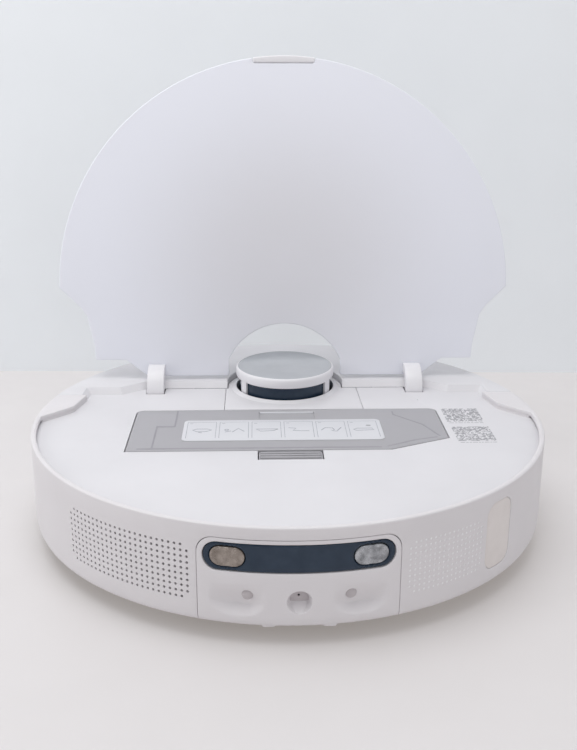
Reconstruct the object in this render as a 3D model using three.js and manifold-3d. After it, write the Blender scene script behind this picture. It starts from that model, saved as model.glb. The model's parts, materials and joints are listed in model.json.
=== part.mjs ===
// Disc-shaped robot vacuum and mop with a round flip-up lid, millimetres, +Z up.
// The origin is the centre of the footprint on the floor. -Y is the rear, which faces the dock.
// +Y is the driving front.
import * as THREE from "three";
import { mergeVertices } from "three/addons/utils/BufferGeometryUtils.js";
import Module from "manifold-3d";

const wasm = await Module();
wasm.setup();

// ---- driving dimensions ----
// round body
const BODY_R = 175;
const WALL = 3.4;
const INNER_R = BODY_R - WALL;
const SKIRT_Z = 12;
const RIM_Z = 72.6;
const RIM_BEVEL = 1.2;
const DECK_Z = 68;
const DECK_T = 2.6;
const COVER_T = 2.4;
const GAP = 0.3;
const BASE_R = 168.5;
const BASE_Z0 = 14;
const BASE_Z1 = 17;

// sunken deck under the lid; SEAM_Y is where the rear shell's rim meets the front cover
const SEAM_Y = 44;
const RECESS_FAR_Y = 70;
const RECESS_STEP_Y = 57;
const RECESS_SIDE = [[172.5, -2], [156.5, 15], [152.5, 20], [147, SEAM_Y + 1], [146.5, RECESS_STEP_Y]];
const RECESS_STEP_X = 123;
const RECESS_CORNER_X = 106;
const SLOPE_RUN = 3.6;
const EDGE_WALL_T = SLOPE_RUN + 1.2;

// lid
const LID_R = 171;
const LID_T = 3.6;
const LID_BEVEL = 0.8;
const LID_SIDE = [[170.9, -1], [155.4, 14], [151, 20.5], [146, 44], [145.4, 54.6]];
const LID_EDGE = [...LID_SIDE, [122.2, 54.6], [105.2, 67.4]];
const LID_NOTCH_R = 47;
const LID_NOTCH_Y = 74;
const LID_NOTCH_HALF = 43;
const LID_OPEN_DEG = 98;
const LID_PIVOT_Y = 76;
const LID_PIVOT_Z = 67;
const LID_TAB_W = 45.6;
const LID_TAB_DEPTH = 5;

// lid hinges
const HINGE_X = 98.25;
const HINGE_W = 12.5;
const HINGE_SLOT_SPARE = 0.7;
const ARM_OUT_R = 17.4;
const ARM_IN_R = 10.5;
const HINGE_PIN_R = 1.45;
const ARM_EYE_R = 2.85;
const PIN_CLEARANCE = 0.12;
const LUG_OFFSET = 10;
const LUG_T = 3;

// turret
const TURRET_Y = 74;
const CAP_R = 37.3;
const CAP_Z0 = 78.7;
const CAP_Z1 = 85.5;
const CAP_RIM = 1.3;
const WINDOW_R = 34.8;
const PILLAR_R = 36.6;
const PILLAR_Z0 = 62.5;
const TURRET_HOLE_R = 37.2;
const TURRET_LIP_W = 4.2;
const TURRET_LIP_H = 1.6;
const SURROUND_R = 43.6;
const SURROUND_LEFT = -45;
const SURROUND_RIGHT = 54.6;

// dust box
const DUST_HALF = 107;
const DUST_FAR_Y = 21;
const DUST_NEAR_Y = -55;
const DUST_TIP_Y = -36;
const DUST_BREAK_X = 66;
const DUST_CORNER_R = 5;
const DUST_COVER_T = 1.9;
const DUST_COVER_TOP = DECK_Z + 0.2;
const POCKET = { x0: -20, x1: 19, y0: 3, y1: 16.8 };
const LABEL = { x0: -72, x1: 64, y0: -39, y1: -1 };
const TUB_Z0 = 26;
const TUB_Z1 = 63.2;
const TUB_WALL = 2;
const TUB_INSET = 3;
const BAFFLE = { x: -78, y: -12, end: -91 };
const FILTER = { x0: -100, x1: -93, y0: -46, y1: -14, z0: 31, z1: 58 };
const PLEATS = 8;
const LATCH_HALF = 20.6;
const LATCH_NEAR_Y = -70;
const LATCH_TRAVEL = 1.5;
const LATCH_T = 2.2;
const LATCH_RIBS = 3;
const LATCH_RIB_PITCH = 3.6;

// docking panel in the rear wall; its middle lies a little to the right of the body's
const DOCK_X = 1.1;
const PANEL_HALF = 56.3;
const PANEL_TOP = 64.8;
const PANEL_CORNER_R = 10;
const PANEL_T = 3.2;
const STRIP_HALF = 53.1;
const STRIP_Z0 = 45.3;
const STRIP_Z1 = 62.2;
const CONTACT_X = 39.6;
const CONTACT_W = 19.3;
const CONTACT_H = 11.6;
const SCOOP_X = 34.4;
const SCOOP_Z = 28.4;
const SCOOP_W = 30.4;
const SCOOP_H = 20.2;
const SCOOP_DEPTH = 5;
const SCOOP_T = 2;
const LENS_X = 28.9;
const LENS_Z = 30.6;
const LENS_D = 6.2;
const LENS_PROUD = 1.4;
const INLET_Z = 27.6;
const INLET_D = 13.8;
const INLET_DEPTH = 5.5;
const INLET_WALL = 1;
const INLET_HOLE_Z = 29.6;
const INLET_HOLE_D = 1.6;
const FOOT_X = 17;
const FOOT_W = 7.8;
const FOOT_Y0 = -172.4;
const FOOT_Y1 = -168.8;

// oblong side window, turned about the centre from the rear towards the right
const SIDE_WINDOW_DEG = 43.8;
const SIDE_WINDOW_W = 25.4;
const SIDE_WINDOW_Z0 = 21.5;
const SIDE_WINDOW_Z1 = 64.8;
const SIDE_WINDOW_CORNER_R = 8;

// bumper and keys
const BUMPER_TOP = 69.6;
const BUMPER_TRAVEL = 2.5;
const BUMPER_WINDOW_HALF = 48;
const BUMPER_WINDOW_Z0 = 36;
const BUMPER_WINDOW_Z1 = 58;
const BUTTON_X = 13;
const BUTTON_Y = 136;
const BUTTON_R = 7;

// running gear
const WHEEL_R = 31;
const WHEEL_X0 = 118;
const WHEEL_X1 = 138;
const HUB_R = 23;
const TREAD_LUGS = 18;
const TREAD_DEPTH = 2;
const AXLE_R = 4;
const WELL_X0 = 108.4;
const WELL_X1 = 140;
const WELL_HALF_Y = 36;
const ARM_X0 = 109.6;
const ARM_X1 = 116.8;
const ARM_PIVOT_Y = 52;
const ARM_PIVOT_Z = 34;
const ARM_PIN_R = 2.9;
const BRACKET_X0 = 118;
const BRACKET_X1 = 121.5;
const CASTER_Y = 138;
const CASTER_R = 13;
const CASTER_TRAIL = 5;
const CASTER_FORK_R = 19.5;

// brushes
const BRUSH_Y = 45;
const BRUSH_Z = 20.5;
const BRUSH_R = 19.5;
const BRUSH_CORE_R = 10;
const BRUSH_HALF = 82;
const BRUSH_FINS = 6;
const CHAMBER_R = 23.5;
const CHAMBER_IN_R = 21.3;
const CHAMBER_HALF = BRUSH_HALF + 4;
const DUCT_HALF = 40;
const DUCT_Z0 = 32;
const DUCT_Z1 = 52;
const SIDE_BRUSH_X = 112;
const SIDE_BRUSH_Y = 108;
const SIDE_BRUSH_ARM = 50;

// mops
const MOP_X = 55;
const MOP_Y = -86;
const MOP_R = 52;
const MOP_PAD_T = 5;
const MOP_BORE_R = 10;
const MOP_SHAFT_R = 8;

// inside the body
const BATTERY = { x0: -72, x1: 72, y0: 100, y1: 154, z0: 38, z1: 56 };
const BOARD = { x0: -64, x1: 64, y0: 117, y1: 156, z0: 62, z1: 63.6 };
const TANK = { x0: -84, x1: 58, y1: -77, z0: 44, z1: 63, r: 156, wall: 2 };
const TANK_CAP = { x: 30, y: -100, r: 8 };
const FAN = { x: -112, y: -82, r: 23, z0: 36, z1: 60 };
const SPEAKER = { z: 42, d: 32, y0: -164, y1: -150, deg: 31 };

// facets on round shapes
const RIM_STEPS = 72;
const ROUND_STEPS = 24;
const SMALL_STEPS = 12;
const CORNER_STEPS = 4;

// ---- finishes ----
const finish = (color, roughness, metalness = 0) =>
  new THREE.MeshStandardMaterial({ color, roughness, metalness });
const white = finish(0xe6e6ea, 0.35);
const deckWhite = finish(0xe0e0e6, 0.45);
const grey = finish(0xaeb2b7, 0.4);
const smoke = finish(0xb4b2b7, 0.25);
const dark = finish(0x38424f, 0.15);
const black = finish(0x222427, 0.6);
const steel = finish(0xaab0b6, 0.3, 1);
const rubber = finish(0x2b2c2e, 0.85);
const cloth = finish(0x9a9ca3, 0.95);
const board = finish(0x2f5a44, 0.6);

// ---- solids ----
function solid(geometry) {
  const bare = geometry.clone();
  bare.deleteAttribute("normal");
  bare.deleteAttribute("uv");
  const merged = mergeVertices(bare, 1e-4);
  return new wasm.Manifold(
    new wasm.Mesh({
      numProp: 3,
      vertProperties: new Float32Array(merged.attributes.position.array),
      triVerts: new Uint32Array(merged.index.array),
    }),
  );
}

function geometryOf(body) {
  const mesh = body.getMesh();
  return new THREE.BufferGeometry()
    .setAttribute("position", new THREE.BufferAttribute(new Float32Array(mesh.vertProperties), 3))
    .setIndex(new THREE.BufferAttribute(new Uint32Array(mesh.triVerts), 1));
}

const joined = (first, ...rest) => rest.reduce((sum, next) => sum.add(next), first);
const cut = (first, ...rest) => rest.reduce((left, next) => left.subtract(next), first);

function extruded(shape, depth, steps) {
  return new THREE.ExtrudeGeometry(shape, { depth, bevelEnabled: false, curveSegments: steps });
}

// A shape drawn in x and y, standing from z0 to z1.
function upright(shape, z0, z1, steps = CORNER_STEPS) {
  return solid(extruded(shape, z1 - z0, steps).translate(0, 0, z0));
}

// A shape drawn in y and z, running along x from x0 to x1.
function alongX(shape, x0, x1, steps = CORNER_STEPS) {
  const turn = new THREE.Matrix4().makeBasis(
    new THREE.Vector3(0, 1, 0),
    new THREE.Vector3(0, 0, 1),
    new THREE.Vector3(1, 0, 0),
  );
  return solid(extruded(shape, x1 - x0, steps).applyMatrix4(turn).translate(x0, 0, 0));
}

// A shape drawn in x and z, running along y from y0 to y1.
function alongY(shape, y0, y1, steps = CORNER_STEPS) {
  const turn = new THREE.Matrix4().makeBasis(
    new THREE.Vector3(1, 0, 0),
    new THREE.Vector3(0, 0, 1),
    new THREE.Vector3(0, -1, 0),
  );
  return solid(extruded(shape, y1 - y0, steps).applyMatrix4(turn).translate(0, y1, 0));
}

function disc(r, z0, z1, x = 0, y = 0, steps = ROUND_STEPS) {
  const drum = new THREE.CylinderGeometry(r, r, z1 - z0, steps);
  return solid(drum.rotateX(Math.PI / 2).translate(x, y, (z0 + z1) / 2));
}

function rod(r, x0, x1, y, z, steps = SMALL_STEPS) {
  const bar = new THREE.CylinderGeometry(r, r, x1 - x0, steps);
  return solid(bar.rotateZ(Math.PI / 2).translate((x0 + x1) / 2, y, z));
}

function block(x0, x1, y0, y1, z0, z1) {
  const box = new THREE.BoxGeometry(x1 - x0, y1 - y0, z1 - z0);
  return solid(box.translate((x0 + x1) / 2, (y0 + y1) / 2, (z0 + z1) / 2));
}

const ring = (rIn, rOut, z0, z1, x = 0, y = 0, steps = ROUND_STEPS) =>
  cut(disc(rOut, z0, z1, x, y, steps), disc(rIn, z0 - 1, z1 + 1, x, y, steps));

// Solid of revolution about the part's vertical centre line, from a closed profile of [radius, z].
function turned(profile, x = 0, y = 0, steps = ROUND_STEPS) {
  const points = [...profile, profile[0]].map(([r, z]) => new THREE.Vector2(r, z));
  return solid(new THREE.LatheGeometry(points, steps).rotateX(Math.PI / 2).translate(x, y, 0));
}

const outline = (points) => new THREE.Shape(points.map(([x, y]) => new THREE.Vector2(x, y)));

function rounded(x0, x1, y0, y1, r) {
  const shape = new THREE.Shape();
  shape.absarc(x1 - r, y1 - r, r, 0, Math.PI / 2);
  shape.absarc(x0 + r, y1 - r, r, Math.PI / 2, Math.PI);
  shape.absarc(x0 + r, y0 + r, r, Math.PI, 1.5 * Math.PI);
  shape.absarc(x1 - r, y0 + r, r, 1.5 * Math.PI, 2 * Math.PI);
  return shape;
}

// An oblong with fully round ends, centred on x and z.
const oval = (x, z, w, h) => rounded(x - w / 2, x + w / 2, z - h / 2, z + h / 2, h / 2 - 0.05);

const circle = (x, z, d) => oval(x, z, d, d);

const mirrored = (side) => [...side, ...side.map(([x, y]) => [-x, y]).reverse()];

const both = (make) => [make(-1), make(1)];

const group = new THREE.Group();

function add(name, body, material, parent = group) {
  const mesh = new THREE.Mesh(geometryOf(body), material);
  mesh.name = name;
  parent.add(mesh);
}

const SIDES = [["left", -1], ["right", 1]];

// The span lo to hi, seen from the named side: mirrored in x on the left.
const span = (side, lo, hi) => (side > 0 ? [lo, hi] : [-hi, -lo]);

// ---- deck recess, dust box and turret outlines ----
const recessPoints = mirrored([
  ...RECESS_SIDE,
  [RECESS_STEP_X, RECESS_STEP_Y],
  [RECESS_CORNER_X, RECESS_FAR_Y],
]);

function dustOutline(grow) {
  const shape = new THREE.Shape();
  const r = DUST_CORNER_R + grow;
  const far = DUST_FAR_Y + grow;
  const side = DUST_HALF + grow;
  shape.moveTo(-side, DUST_NEAR_Y - grow);
  shape.lineTo(DUST_BREAK_X + grow / 2, DUST_NEAR_Y - grow);
  shape.lineTo(side, DUST_TIP_Y - grow / 2);
  shape.absarc(side - r, far - r, r, 0, Math.PI / 2);
  shape.absarc(-side + r, far - r, r, Math.PI / 2, Math.PI);
  return shape;
}

const surroundPanel = (grow) =>
  outline([
    [SURROUND_LEFT - grow, DUST_FAR_Y + 1 - grow],
    [SURROUND_RIGHT + 0.8 + grow, DUST_FAR_Y + 1 - grow],
    [SURROUND_RIGHT + grow, RECESS_FAR_Y - 0.4],
    [SURROUND_LEFT - grow, RECESS_FAR_Y - 0.4],
  ]);

// A stretch of the side wall between two radii, and the box that reaches through the wall at the rear.
const thinWall = (rIn, rOut) => ring(rIn, rOut, SKIRT_Z - 5, RIM_Z, 0, 0, RIM_STEPS);
const WALL_FRONT = -BODY_R - 5;
const WALL_BACK = -140;
const throughWall = (shape, steps) => alongY(shape, WALL_FRONT, WALL_BACK, steps);

// ---- rear shell: the side wall, its rim and the two raised corners beside the lid ----
const wallProfile = [
  [INNER_R, SKIRT_Z + 2],
  [BODY_R - 2, SKIRT_Z],
  [BODY_R, SKIRT_Z + 5],
  [BODY_R, RIM_Z - RIM_BEVEL],
  [BODY_R - RIM_BEVEL, RIM_Z],
  [INNER_R, RIM_Z],
];
const raisedCorners = cut(
  disc(INNER_R + 0.5, DECK_Z + GAP, RIM_Z, 0, 0, RIM_STEPS).intersect(
    block(-BODY_R, BODY_R, RECESS_SIDE[0][1], SEAM_Y, DECK_Z + GAP, RIM_Z),
  ),
  upright(outline(recessPoints), DECK_Z - 1, RIM_Z + 1),
);
const panelShape = (grow) => {
  const half = PANEL_HALF + grow;
  return rounded(DOCK_X - half, DOCK_X + half, SKIRT_Z - 30, PANEL_TOP + grow, PANEL_CORNER_R + grow);
};
function sideWindowCut(grow) {
  const half = SIDE_WINDOW_W / 2 + grow;
  const corner = SIDE_WINDOW_CORNER_R + grow;
  const shape = rounded(-half, half, SIDE_WINDOW_Z0 - grow, SIDE_WINDOW_Z1 + grow, corner);
  return throughWall(shape).rotate([0, 0, SIDE_WINDOW_DEG]);
}
const rearShell = cut(
  joined(turned(wallProfile, 0, 0, RIM_STEPS), raisedCorners),
  block(-BODY_R - 1, BODY_R + 1, SEAM_Y, BODY_R + 1, 0, RIM_Z + 1),
  block(-BODY_R - 1, BODY_R + 1, SEAM_Y - BUMPER_TRAVEL, BODY_R + 1, 0, BUMPER_TOP + GAP),
  throughWall(panelShape(GAP)),
  sideWindowCut(GAP),
);
add("rear_shell", rearShell, white);
add("side_window", thinWall(BODY_R - 2.6, BODY_R - 0.2).intersect(sideWindowCut(-GAP)), grey);

// ---- docking panel with its window strip, contacts and recesses ----
const stripR = (STRIP_Z1 - STRIP_Z0) / 2 - 0.1;
const strip = (grow) =>
  rounded(
    DOCK_X - STRIP_HALF - grow,
    DOCK_X + STRIP_HALF + grow,
    STRIP_Z0 - grow,
    STRIP_Z1 + grow,
    stripR,
  );
const contactZ = (STRIP_Z0 + STRIP_Z1) / 2;
const contactFace = (side, grow) =>
  oval(DOCK_X + side * CONTACT_X, contactZ, CONTACT_W + 2 * grow, CONTACT_H + 2 * grow);
const scoop = (side, rIn, grow) =>
  thinWall(rIn, BODY_R + 3).intersect(
    throughWall(oval(DOCK_X + side * SCOOP_X, SCOOP_Z, SCOOP_W + 2 * grow, SCOOP_H + 2 * grow)),
  );
const lensShape = (side, grow) => circle(DOCK_X + side * LENS_X, LENS_Z, LENS_D + 2 * grow);
const behindWall = disc(BODY_R - 1, 0, RIM_Z, 0, 0, RIM_STEPS);
const scoopBack = (side) => scoop(side, BODY_R - SCOOP_DEPTH - SCOOP_T, 1).intersect(behindWall);
const panelWall = thinWall(BODY_R - PANEL_T, BODY_R).intersect(throughWall(panelShape(0)));
const panelSolid = cut(
  joined(panelWall, ...both(scoopBack)),
  block(-60, 60, WALL_FRONT, WALL_BACK, 0, SKIRT_Z),
  throughWall(strip(GAP)),
  ...both((s) => scoop(s, BODY_R - SCOOP_DEPTH, 0)),
  ...both((s) => throughWall(lensShape(s, GAP))),
  throughWall(circle(DOCK_X, INLET_Z, INLET_D)),
);
const feet = both((s) => {
  const x = DOCK_X + s * FOOT_X;
  return block(x - FOOT_W / 2, x + FOOT_W / 2, FOOT_Y0, FOOT_Y1, SKIRT_Z - 1.2, SKIRT_Z + 1);
});
add("docking_panel", joined(panelSolid, ...feet), white);

const windowWall = thinWall(BODY_R - 3, BODY_R - 0.3).intersect(throughWall(strip(0)));
add("dock_window", cut(windowWall, ...both((s) => throughWall(contactFace(s, GAP)))), dark);
const lensFront = BODY_R - SCOOP_DEPTH + LENS_PROUD;
for (const [side, s] of SIDES) {
  const contact = thinWall(BODY_R - 3.4, BODY_R - 0.1).intersect(throughWall(contactFace(s, 0)));
  add("charge_contact_" + side, contact, steel);
  const lens = thinWall(lensFront - 5, lensFront).intersect(throughWall(lensShape(s, 0)));
  add("dock_sensor_lens_" + side, lens, white);
}
const inletShape = (shrink) => throughWall(circle(DOCK_X, INLET_Z, INLET_D - 2 * shrink));
const inletBody = thinWall(BODY_R - 9, BODY_R - 1.8).intersect(inletShape(GAP));
const inletDish = thinWall(BODY_R - INLET_DEPTH, BODY_R).intersect(inletShape(GAP + INLET_WALL));
const inletHole = throughWall(circle(DOCK_X, INLET_HOLE_Z, INLET_HOLE_D), 2);
add("water_inlet_valve", cut(inletBody, inletDish, inletHole), white);

// ---- base plate with its wells and bores ----
const throughBase = (x0, x1, y0, y1) => block(x0, x1, y0, y1, BASE_Z0 - 1, BASE_Z1 + 1);
const boreBase = (r, x, y) => disc(r, BASE_Z0 - 1, BASE_Z1 + 1, x, y);
const pivotBracket = (side) => {
  const [x0, x1] = span(side, BRACKET_X0, BRACKET_X1);
  return block(x0, x1, ARM_PIVOT_Y - 6, ARM_PIVOT_Y + 6, BASE_Z1 - 1, ARM_PIVOT_Z + 6);
};
const wheelWell = (side) => throughBase(...span(side, WELL_X0, WELL_X1), -WELL_HALF_Y, WELL_HALF_Y + 6);
const armWell = (side) => throughBase(...span(side, WELL_X0, BRACKET_X0 - 0.4), 0, ARM_PIVOT_Y + 12);
const basePlate = cut(
  joined(disc(BASE_R, BASE_Z0, BASE_Z1, 0, 0, RIM_STEPS), ...both(pivotBracket)),
  ...both(wheelWell),
  ...both(armWell),
  ...both((s) => boreBase(MOP_BORE_R, s * MOP_X, MOP_Y)),
  throughBase(-BRUSH_HALF - 5, BRUSH_HALF + 5, BRUSH_Y - 23, BRUSH_Y + 23),
  boreBase(CASTER_FORK_R + 1.5, 0, CASTER_Y),
  boreBase(9, SIDE_BRUSH_X, SIDE_BRUSH_Y),
  rod(ARM_PIN_R + 0.2, -BRACKET_X1 - 1, BRACKET_X1 + 1, ARM_PIVOT_Y, ARM_PIVOT_Z),
);
add("base_plate", basePlate, black);

// ---- deck plate ----
const deckBottom = DECK_Z - DECK_T;
const throughDeck = (x0, x1, y0, y1) => block(x0, x1, y0, y1, deckBottom - 1, DECK_Z + 1);
const slotHalf = HINGE_W / 2 + HINGE_SLOT_SPARE;
const slotNearY = LID_PIVOT_Y - ARM_OUT_R - 1.3;
const hingeSlot = (side) =>
  throughDeck(...span(side, HINGE_X - slotHalf, HINGE_X + slotHalf), slotNearY, RECESS_FAR_Y + 5);
const besideBumper = cut(
  throughDeck(-BODY_R, BODY_R, SEAM_Y - 3, RECESS_FAR_Y),
  disc(BASE_R + 1, deckBottom - 2, DECK_Z + 2, 0, 0, RIM_STEPS),
);
const latchHalf = LATCH_HALF + 2 * GAP;
const deckPlate = cut(
  disc(INNER_R - GAP, deckBottom, DECK_Z, 0, 0, RIM_STEPS),
  throughDeck(-BODY_R, BODY_R, RECESS_FAR_Y - 0.4, BODY_R),
  upright(dustOutline(0.75), deckBottom - 1, DECK_Z + 1),
  throughDeck(-latchHalf, latchHalf, LATCH_NEAR_Y - 2 * GAP, DUST_NEAR_Y + 1),
  upright(surroundPanel(GAP), deckBottom - 1, DECK_Z + 1),
  ...both(hingeSlot),
  besideBumper,
);
add("deck_plate", deckPlate, deckWhite);

// ---- front cover: top plate in front of the recess, with its near edge and the hinge lugs ----
const coverBottom = RIM_Z - COVER_T;
const coverProfile = [
  [0, coverBottom],
  [BODY_R, coverBottom],
  [BODY_R, RIM_Z - RIM_BEVEL],
  [BODY_R - RIM_BEVEL, RIM_Z],
  [0, RIM_Z],
];
const frontHalf = block(-BODY_R - 1, BODY_R + 1, SEAM_Y + GAP, BODY_R + 1, DECK_Z + GAP, RIM_Z + 1);
const recessHole = upright(outline(recessPoints), DECK_Z - 1, RIM_Z + 1);
// The recess as a solid that widens by grow1 - grow0 from z0 up to z1.
function widenedRecess(grow0, grow1, z0, z1) {
  const body = new THREE.ExtrudeGeometry(outline(recessPoints), {
    depth: 1,
    bevelThickness: z1 - z0,
    bevelSize: grow1 - grow0,
    bevelOffset: grow0,
    bevelSegments: 1,
  });
  return solid(body.translate(0, 0, z1)).intersect(block(-BODY_R, BODY_R, -BODY_R, BODY_R, z0, z1 + 1));
}
const edgeWall = widenedRecess(EDGE_WALL_T, EDGE_WALL_T, DECK_Z + GAP, RIM_Z - 2);
const nearSlope = widenedRecess(0, SLOPE_RUN, DECK_Z, RIM_Z);
const eyeRoom = (side) => {
  const room = HINGE_W / 2 + 2 * HINGE_SLOT_SPARE;
  return rod(ARM_EYE_R + 2 * GAP, ...span(side, HINGE_X - room, HINGE_X + room), LID_PIVOT_Y, LID_PIVOT_Z);
};
const lugShape = rounded(LID_PIVOT_Y - 4.5, LID_PIVOT_Y + 4.5, LID_PIVOT_Z - 5, coverBottom + 0.5, 1.5);
const hingeLugs = [HINGE_X - LUG_OFFSET, HINGE_X + LUG_OFFSET].flatMap((x) =>
  both((s) => alongX(lugShape, s * x - LUG_T / 2, s * x + LUG_T / 2)),
);
const pinBore = (side) =>
  rod(HINGE_PIN_R + PIN_CLEARANCE, ...span(side, 80, 120), LID_PIVOT_Y, LID_PIVOT_Z);
const frontCover = cut(
  joined(turned(coverProfile, 0, 0, RIM_STEPS), edgeWall).intersect(frontHalf).add(joined(...hingeLugs)),
  recessHole,
  nearSlope,
  ...both(eyeRoom),
  disc(SURROUND_R + 2 * GAP, DECK_Z - 1, RIM_Z + 1, 0, TURRET_Y),
  ...both(pinBore),
  ...both((s) => disc(BUTTON_R + GAP, DECK_Z, RIM_Z + 1, s * BUTTON_X, BUTTON_Y)),
);
add("front_cover", frontCover, deckWhite);

for (const [name, x] of [["power_button", -BUTTON_X], ["dock_button", BUTTON_X]]) {
  const key = disc(BUTTON_R, 68.5, RIM_Z + 0.5, x, BUTTON_Y);
  const flange = disc(BUTTON_R + 1.6, 67.6, 69.2, x, BUTTON_Y);
  add(name, joined(key, flange), white);
}

for (const [side, s] of SIDES) {
  const ends = span(s, HINGE_X - 12, HINGE_X + 12);
  add("hinge_pin_" + side, rod(HINGE_PIN_R, ...ends, LID_PIVOT_Y, LID_PIVOT_Z), steel);
}

// ---- turret: surround, base cup, sprung cap with its pillars and window, spinning range finder ----
const atTurret = (r, z0, z1) => disc(r, z0, z1, 0, TURRET_Y);
const lipProfile = [
  [TURRET_HOLE_R - 1, DECK_Z - 0.5],
  [TURRET_HOLE_R + TURRET_LIP_W, DECK_Z - 0.5],
  [TURRET_HOLE_R + 2.8, DECK_Z + 0.4],
  [TURRET_HOLE_R + 0.5, DECK_Z + TURRET_LIP_H],
  [TURRET_HOLE_R - 1, DECK_Z + TURRET_LIP_H],
];
const surroundPlate = joined(
  upright(surroundPanel(0), deckBottom, DECK_Z),
  atTurret(SURROUND_R, deckBottom, DECK_Z),
  turned(lipProfile, 0, TURRET_Y),
);
const surround = cut(
  surroundPlate,
  atTurret(TURRET_HOLE_R, deckBottom - 1, DECK_Z + TURRET_LIP_H + 1),
);
add("turret_surround", surround, deckWhite);
const cupR = TURRET_HOLE_R + 2.3;
const cup = joined(atTurret(cupR, 57, 60), ring(cupR - 2.1, cupR, 59, deckBottom - GAP, 0, TURRET_Y));
add("turret_base", cup, grey);

const pillarRing = ring(WINDOW_R + 0.2, PILLAR_R, PILLAR_Z0, CAP_Z0 + 1, 0, TURRET_Y);
const pillars = [-150, -30, 90].map((deg) => {
  const sector = block(30, 40, -3.5, 3.5, PILLAR_Z0, CAP_Z0 + 1);
  return pillarRing.intersect(sector.rotate([0, 0, deg]).translate([0, TURRET_Y, 0]));
});
const capProfile = [
  [0, CAP_Z0],
  [CAP_R - 0.8, CAP_Z0],
  [CAP_R, CAP_Z0 + 0.8],
  [CAP_R, CAP_Z1 - 1.4],
  [CAP_R - 1.2, CAP_Z1],
  [0, CAP_Z1],
];
const cap = cut(turned(capProfile, 0, TURRET_Y), atTurret(CAP_R - CAP_RIM, CAP_Z1 - 0.9, CAP_Z1 + 1));
add("lidar_cap", joined(cap, ...pillars), white);
add("lidar_cap_disc", atTurret(CAP_R - CAP_RIM - GAP, CAP_Z1 - 0.6, CAP_Z1 - 0.1), grey);
add("lidar_window", ring(WINDOW_R - 1.2, WINDOW_R, 64, CAP_Z0 - GAP, 0, TURRET_Y), dark);
const rotor = joined(atTurret(32.6, 61, 65), atTurret(29, 64, CAP_Z0 - 1.6));
add("lidar_rotor", cut(rotor, block(-14, 14, TURRET_Y - 33, TURRET_Y - 22, 67, 75)), black);

// ---- lid, drawn closed about its hinge axis and turned open ----
const lid = new THREE.Group();
lid.position.set(0, LID_PIVOT_Y, LID_PIVOT_Z);
lid.rotation.x = THREE.MathUtils.degToRad(-LID_OPEN_DEG);
group.add(lid);
const toHinge = (body) => body.translate([0, -LID_PIVOT_Y, -LID_PIVOT_Z]);
const lidBottom = RIM_Z - LID_T;
const lidProfile = [
  [0, lidBottom],
  [LID_R - LID_BEVEL, lidBottom],
  [LID_R, lidBottom + LID_BEVEL],
  [LID_R, RIM_Z - LID_BEVEL],
  [LID_R - LID_BEVEL, RIM_Z],
  [0, RIM_Z],
];
const throughLid = (x0, x1, y0, y1) => block(x0, x1, y0, y1, lidBottom - 1, RIM_Z + 1);
const lidOutline = joined(
  throughLid(-LID_R - 3, LID_R + 3, -LID_R - 5, LID_EDGE[0][1]),
  upright(outline(mirrored(LID_EDGE)), lidBottom, RIM_Z),
);
const lidNotch = disc(LID_NOTCH_R, lidBottom - 1, RIM_Z + 1, 0, LID_NOTCH_Y, 36);
const tabHalf = LID_TAB_W / 2;
const tabBack = -LID_R + LID_TAB_DEPTH;
const lidPanel = cut(
  turned(lidProfile, 0, 0, RIM_STEPS).intersect(lidOutline),
  lidNotch.intersect(throughLid(-LID_NOTCH_HALF, LID_NOTCH_HALF, 0, 100)),
  throughLid(-tabHalf - GAP, tabHalf + GAP, -LID_R - 2, tabBack + GAP),
);
add("lid_panel", toHinge(lidPanel), white, lid);
const pullTab = block(-tabHalf, tabHalf, -LID_R - 2, tabBack, lidBottom - GAP, RIM_Z).intersect(
  disc(LID_R + 0.35, lidBottom - GAP, RIM_Z, 0, 0, RIM_STEPS),
);
add("lid_pull_tab", toHinge(pullTab), white, lid);

// Sector about the hinge axis in y and z, from a0 to a1 degrees counted from +y towards +z.
function wedge(a0, a1, r) {
  const steps = 8;
  const rim = [];
  for (let i = 0; i <= steps; i += 1) {
    const a = THREE.MathUtils.degToRad(a0 + ((a1 - a0) * i) / steps);
    rim.push([r * Math.cos(a), r * Math.sin(a)]);
  }
  return outline([[0, 0], ...rim]);
}
for (const [side, s] of SIDES) {
  const [x0, x1] = span(s, HINGE_X - HINGE_W / 2, HINGE_X + HINGE_W / 2);
  const inside = rod(ARM_IN_R, x0 - 1, x1 + 1, 0, 0, ROUND_STEPS);
  const hoop = cut(rod(ARM_OUT_R, x0, x1, 0, 0, ROUND_STEPS), inside);
  const neck = hoop.intersect(alongX(wedge(178, 322, 30), x0, x1));
  const web = rod(ARM_OUT_R - 1, x0, x1, 0, 0).intersect(alongX(wedge(303, 322, 30), x0, x1));
  const bossTop = lidBottom - GAP - LID_PIVOT_Z;
  const boss = block(x0, x1, -ARM_OUT_R - 0.6, -ARM_IN_R + 0.8, -0.9, bossTop);
  const eye = rod(ARM_EYE_R, x0, x1, 0, 0);
  const arm = cut(joined(neck, web, boss, eye), rod(HINGE_PIN_R + PIN_CLEARANCE, x0 - 1, x1 + 1, 0, 0));
  add("hinge_arm_" + side, arm, white, lid);
}

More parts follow.
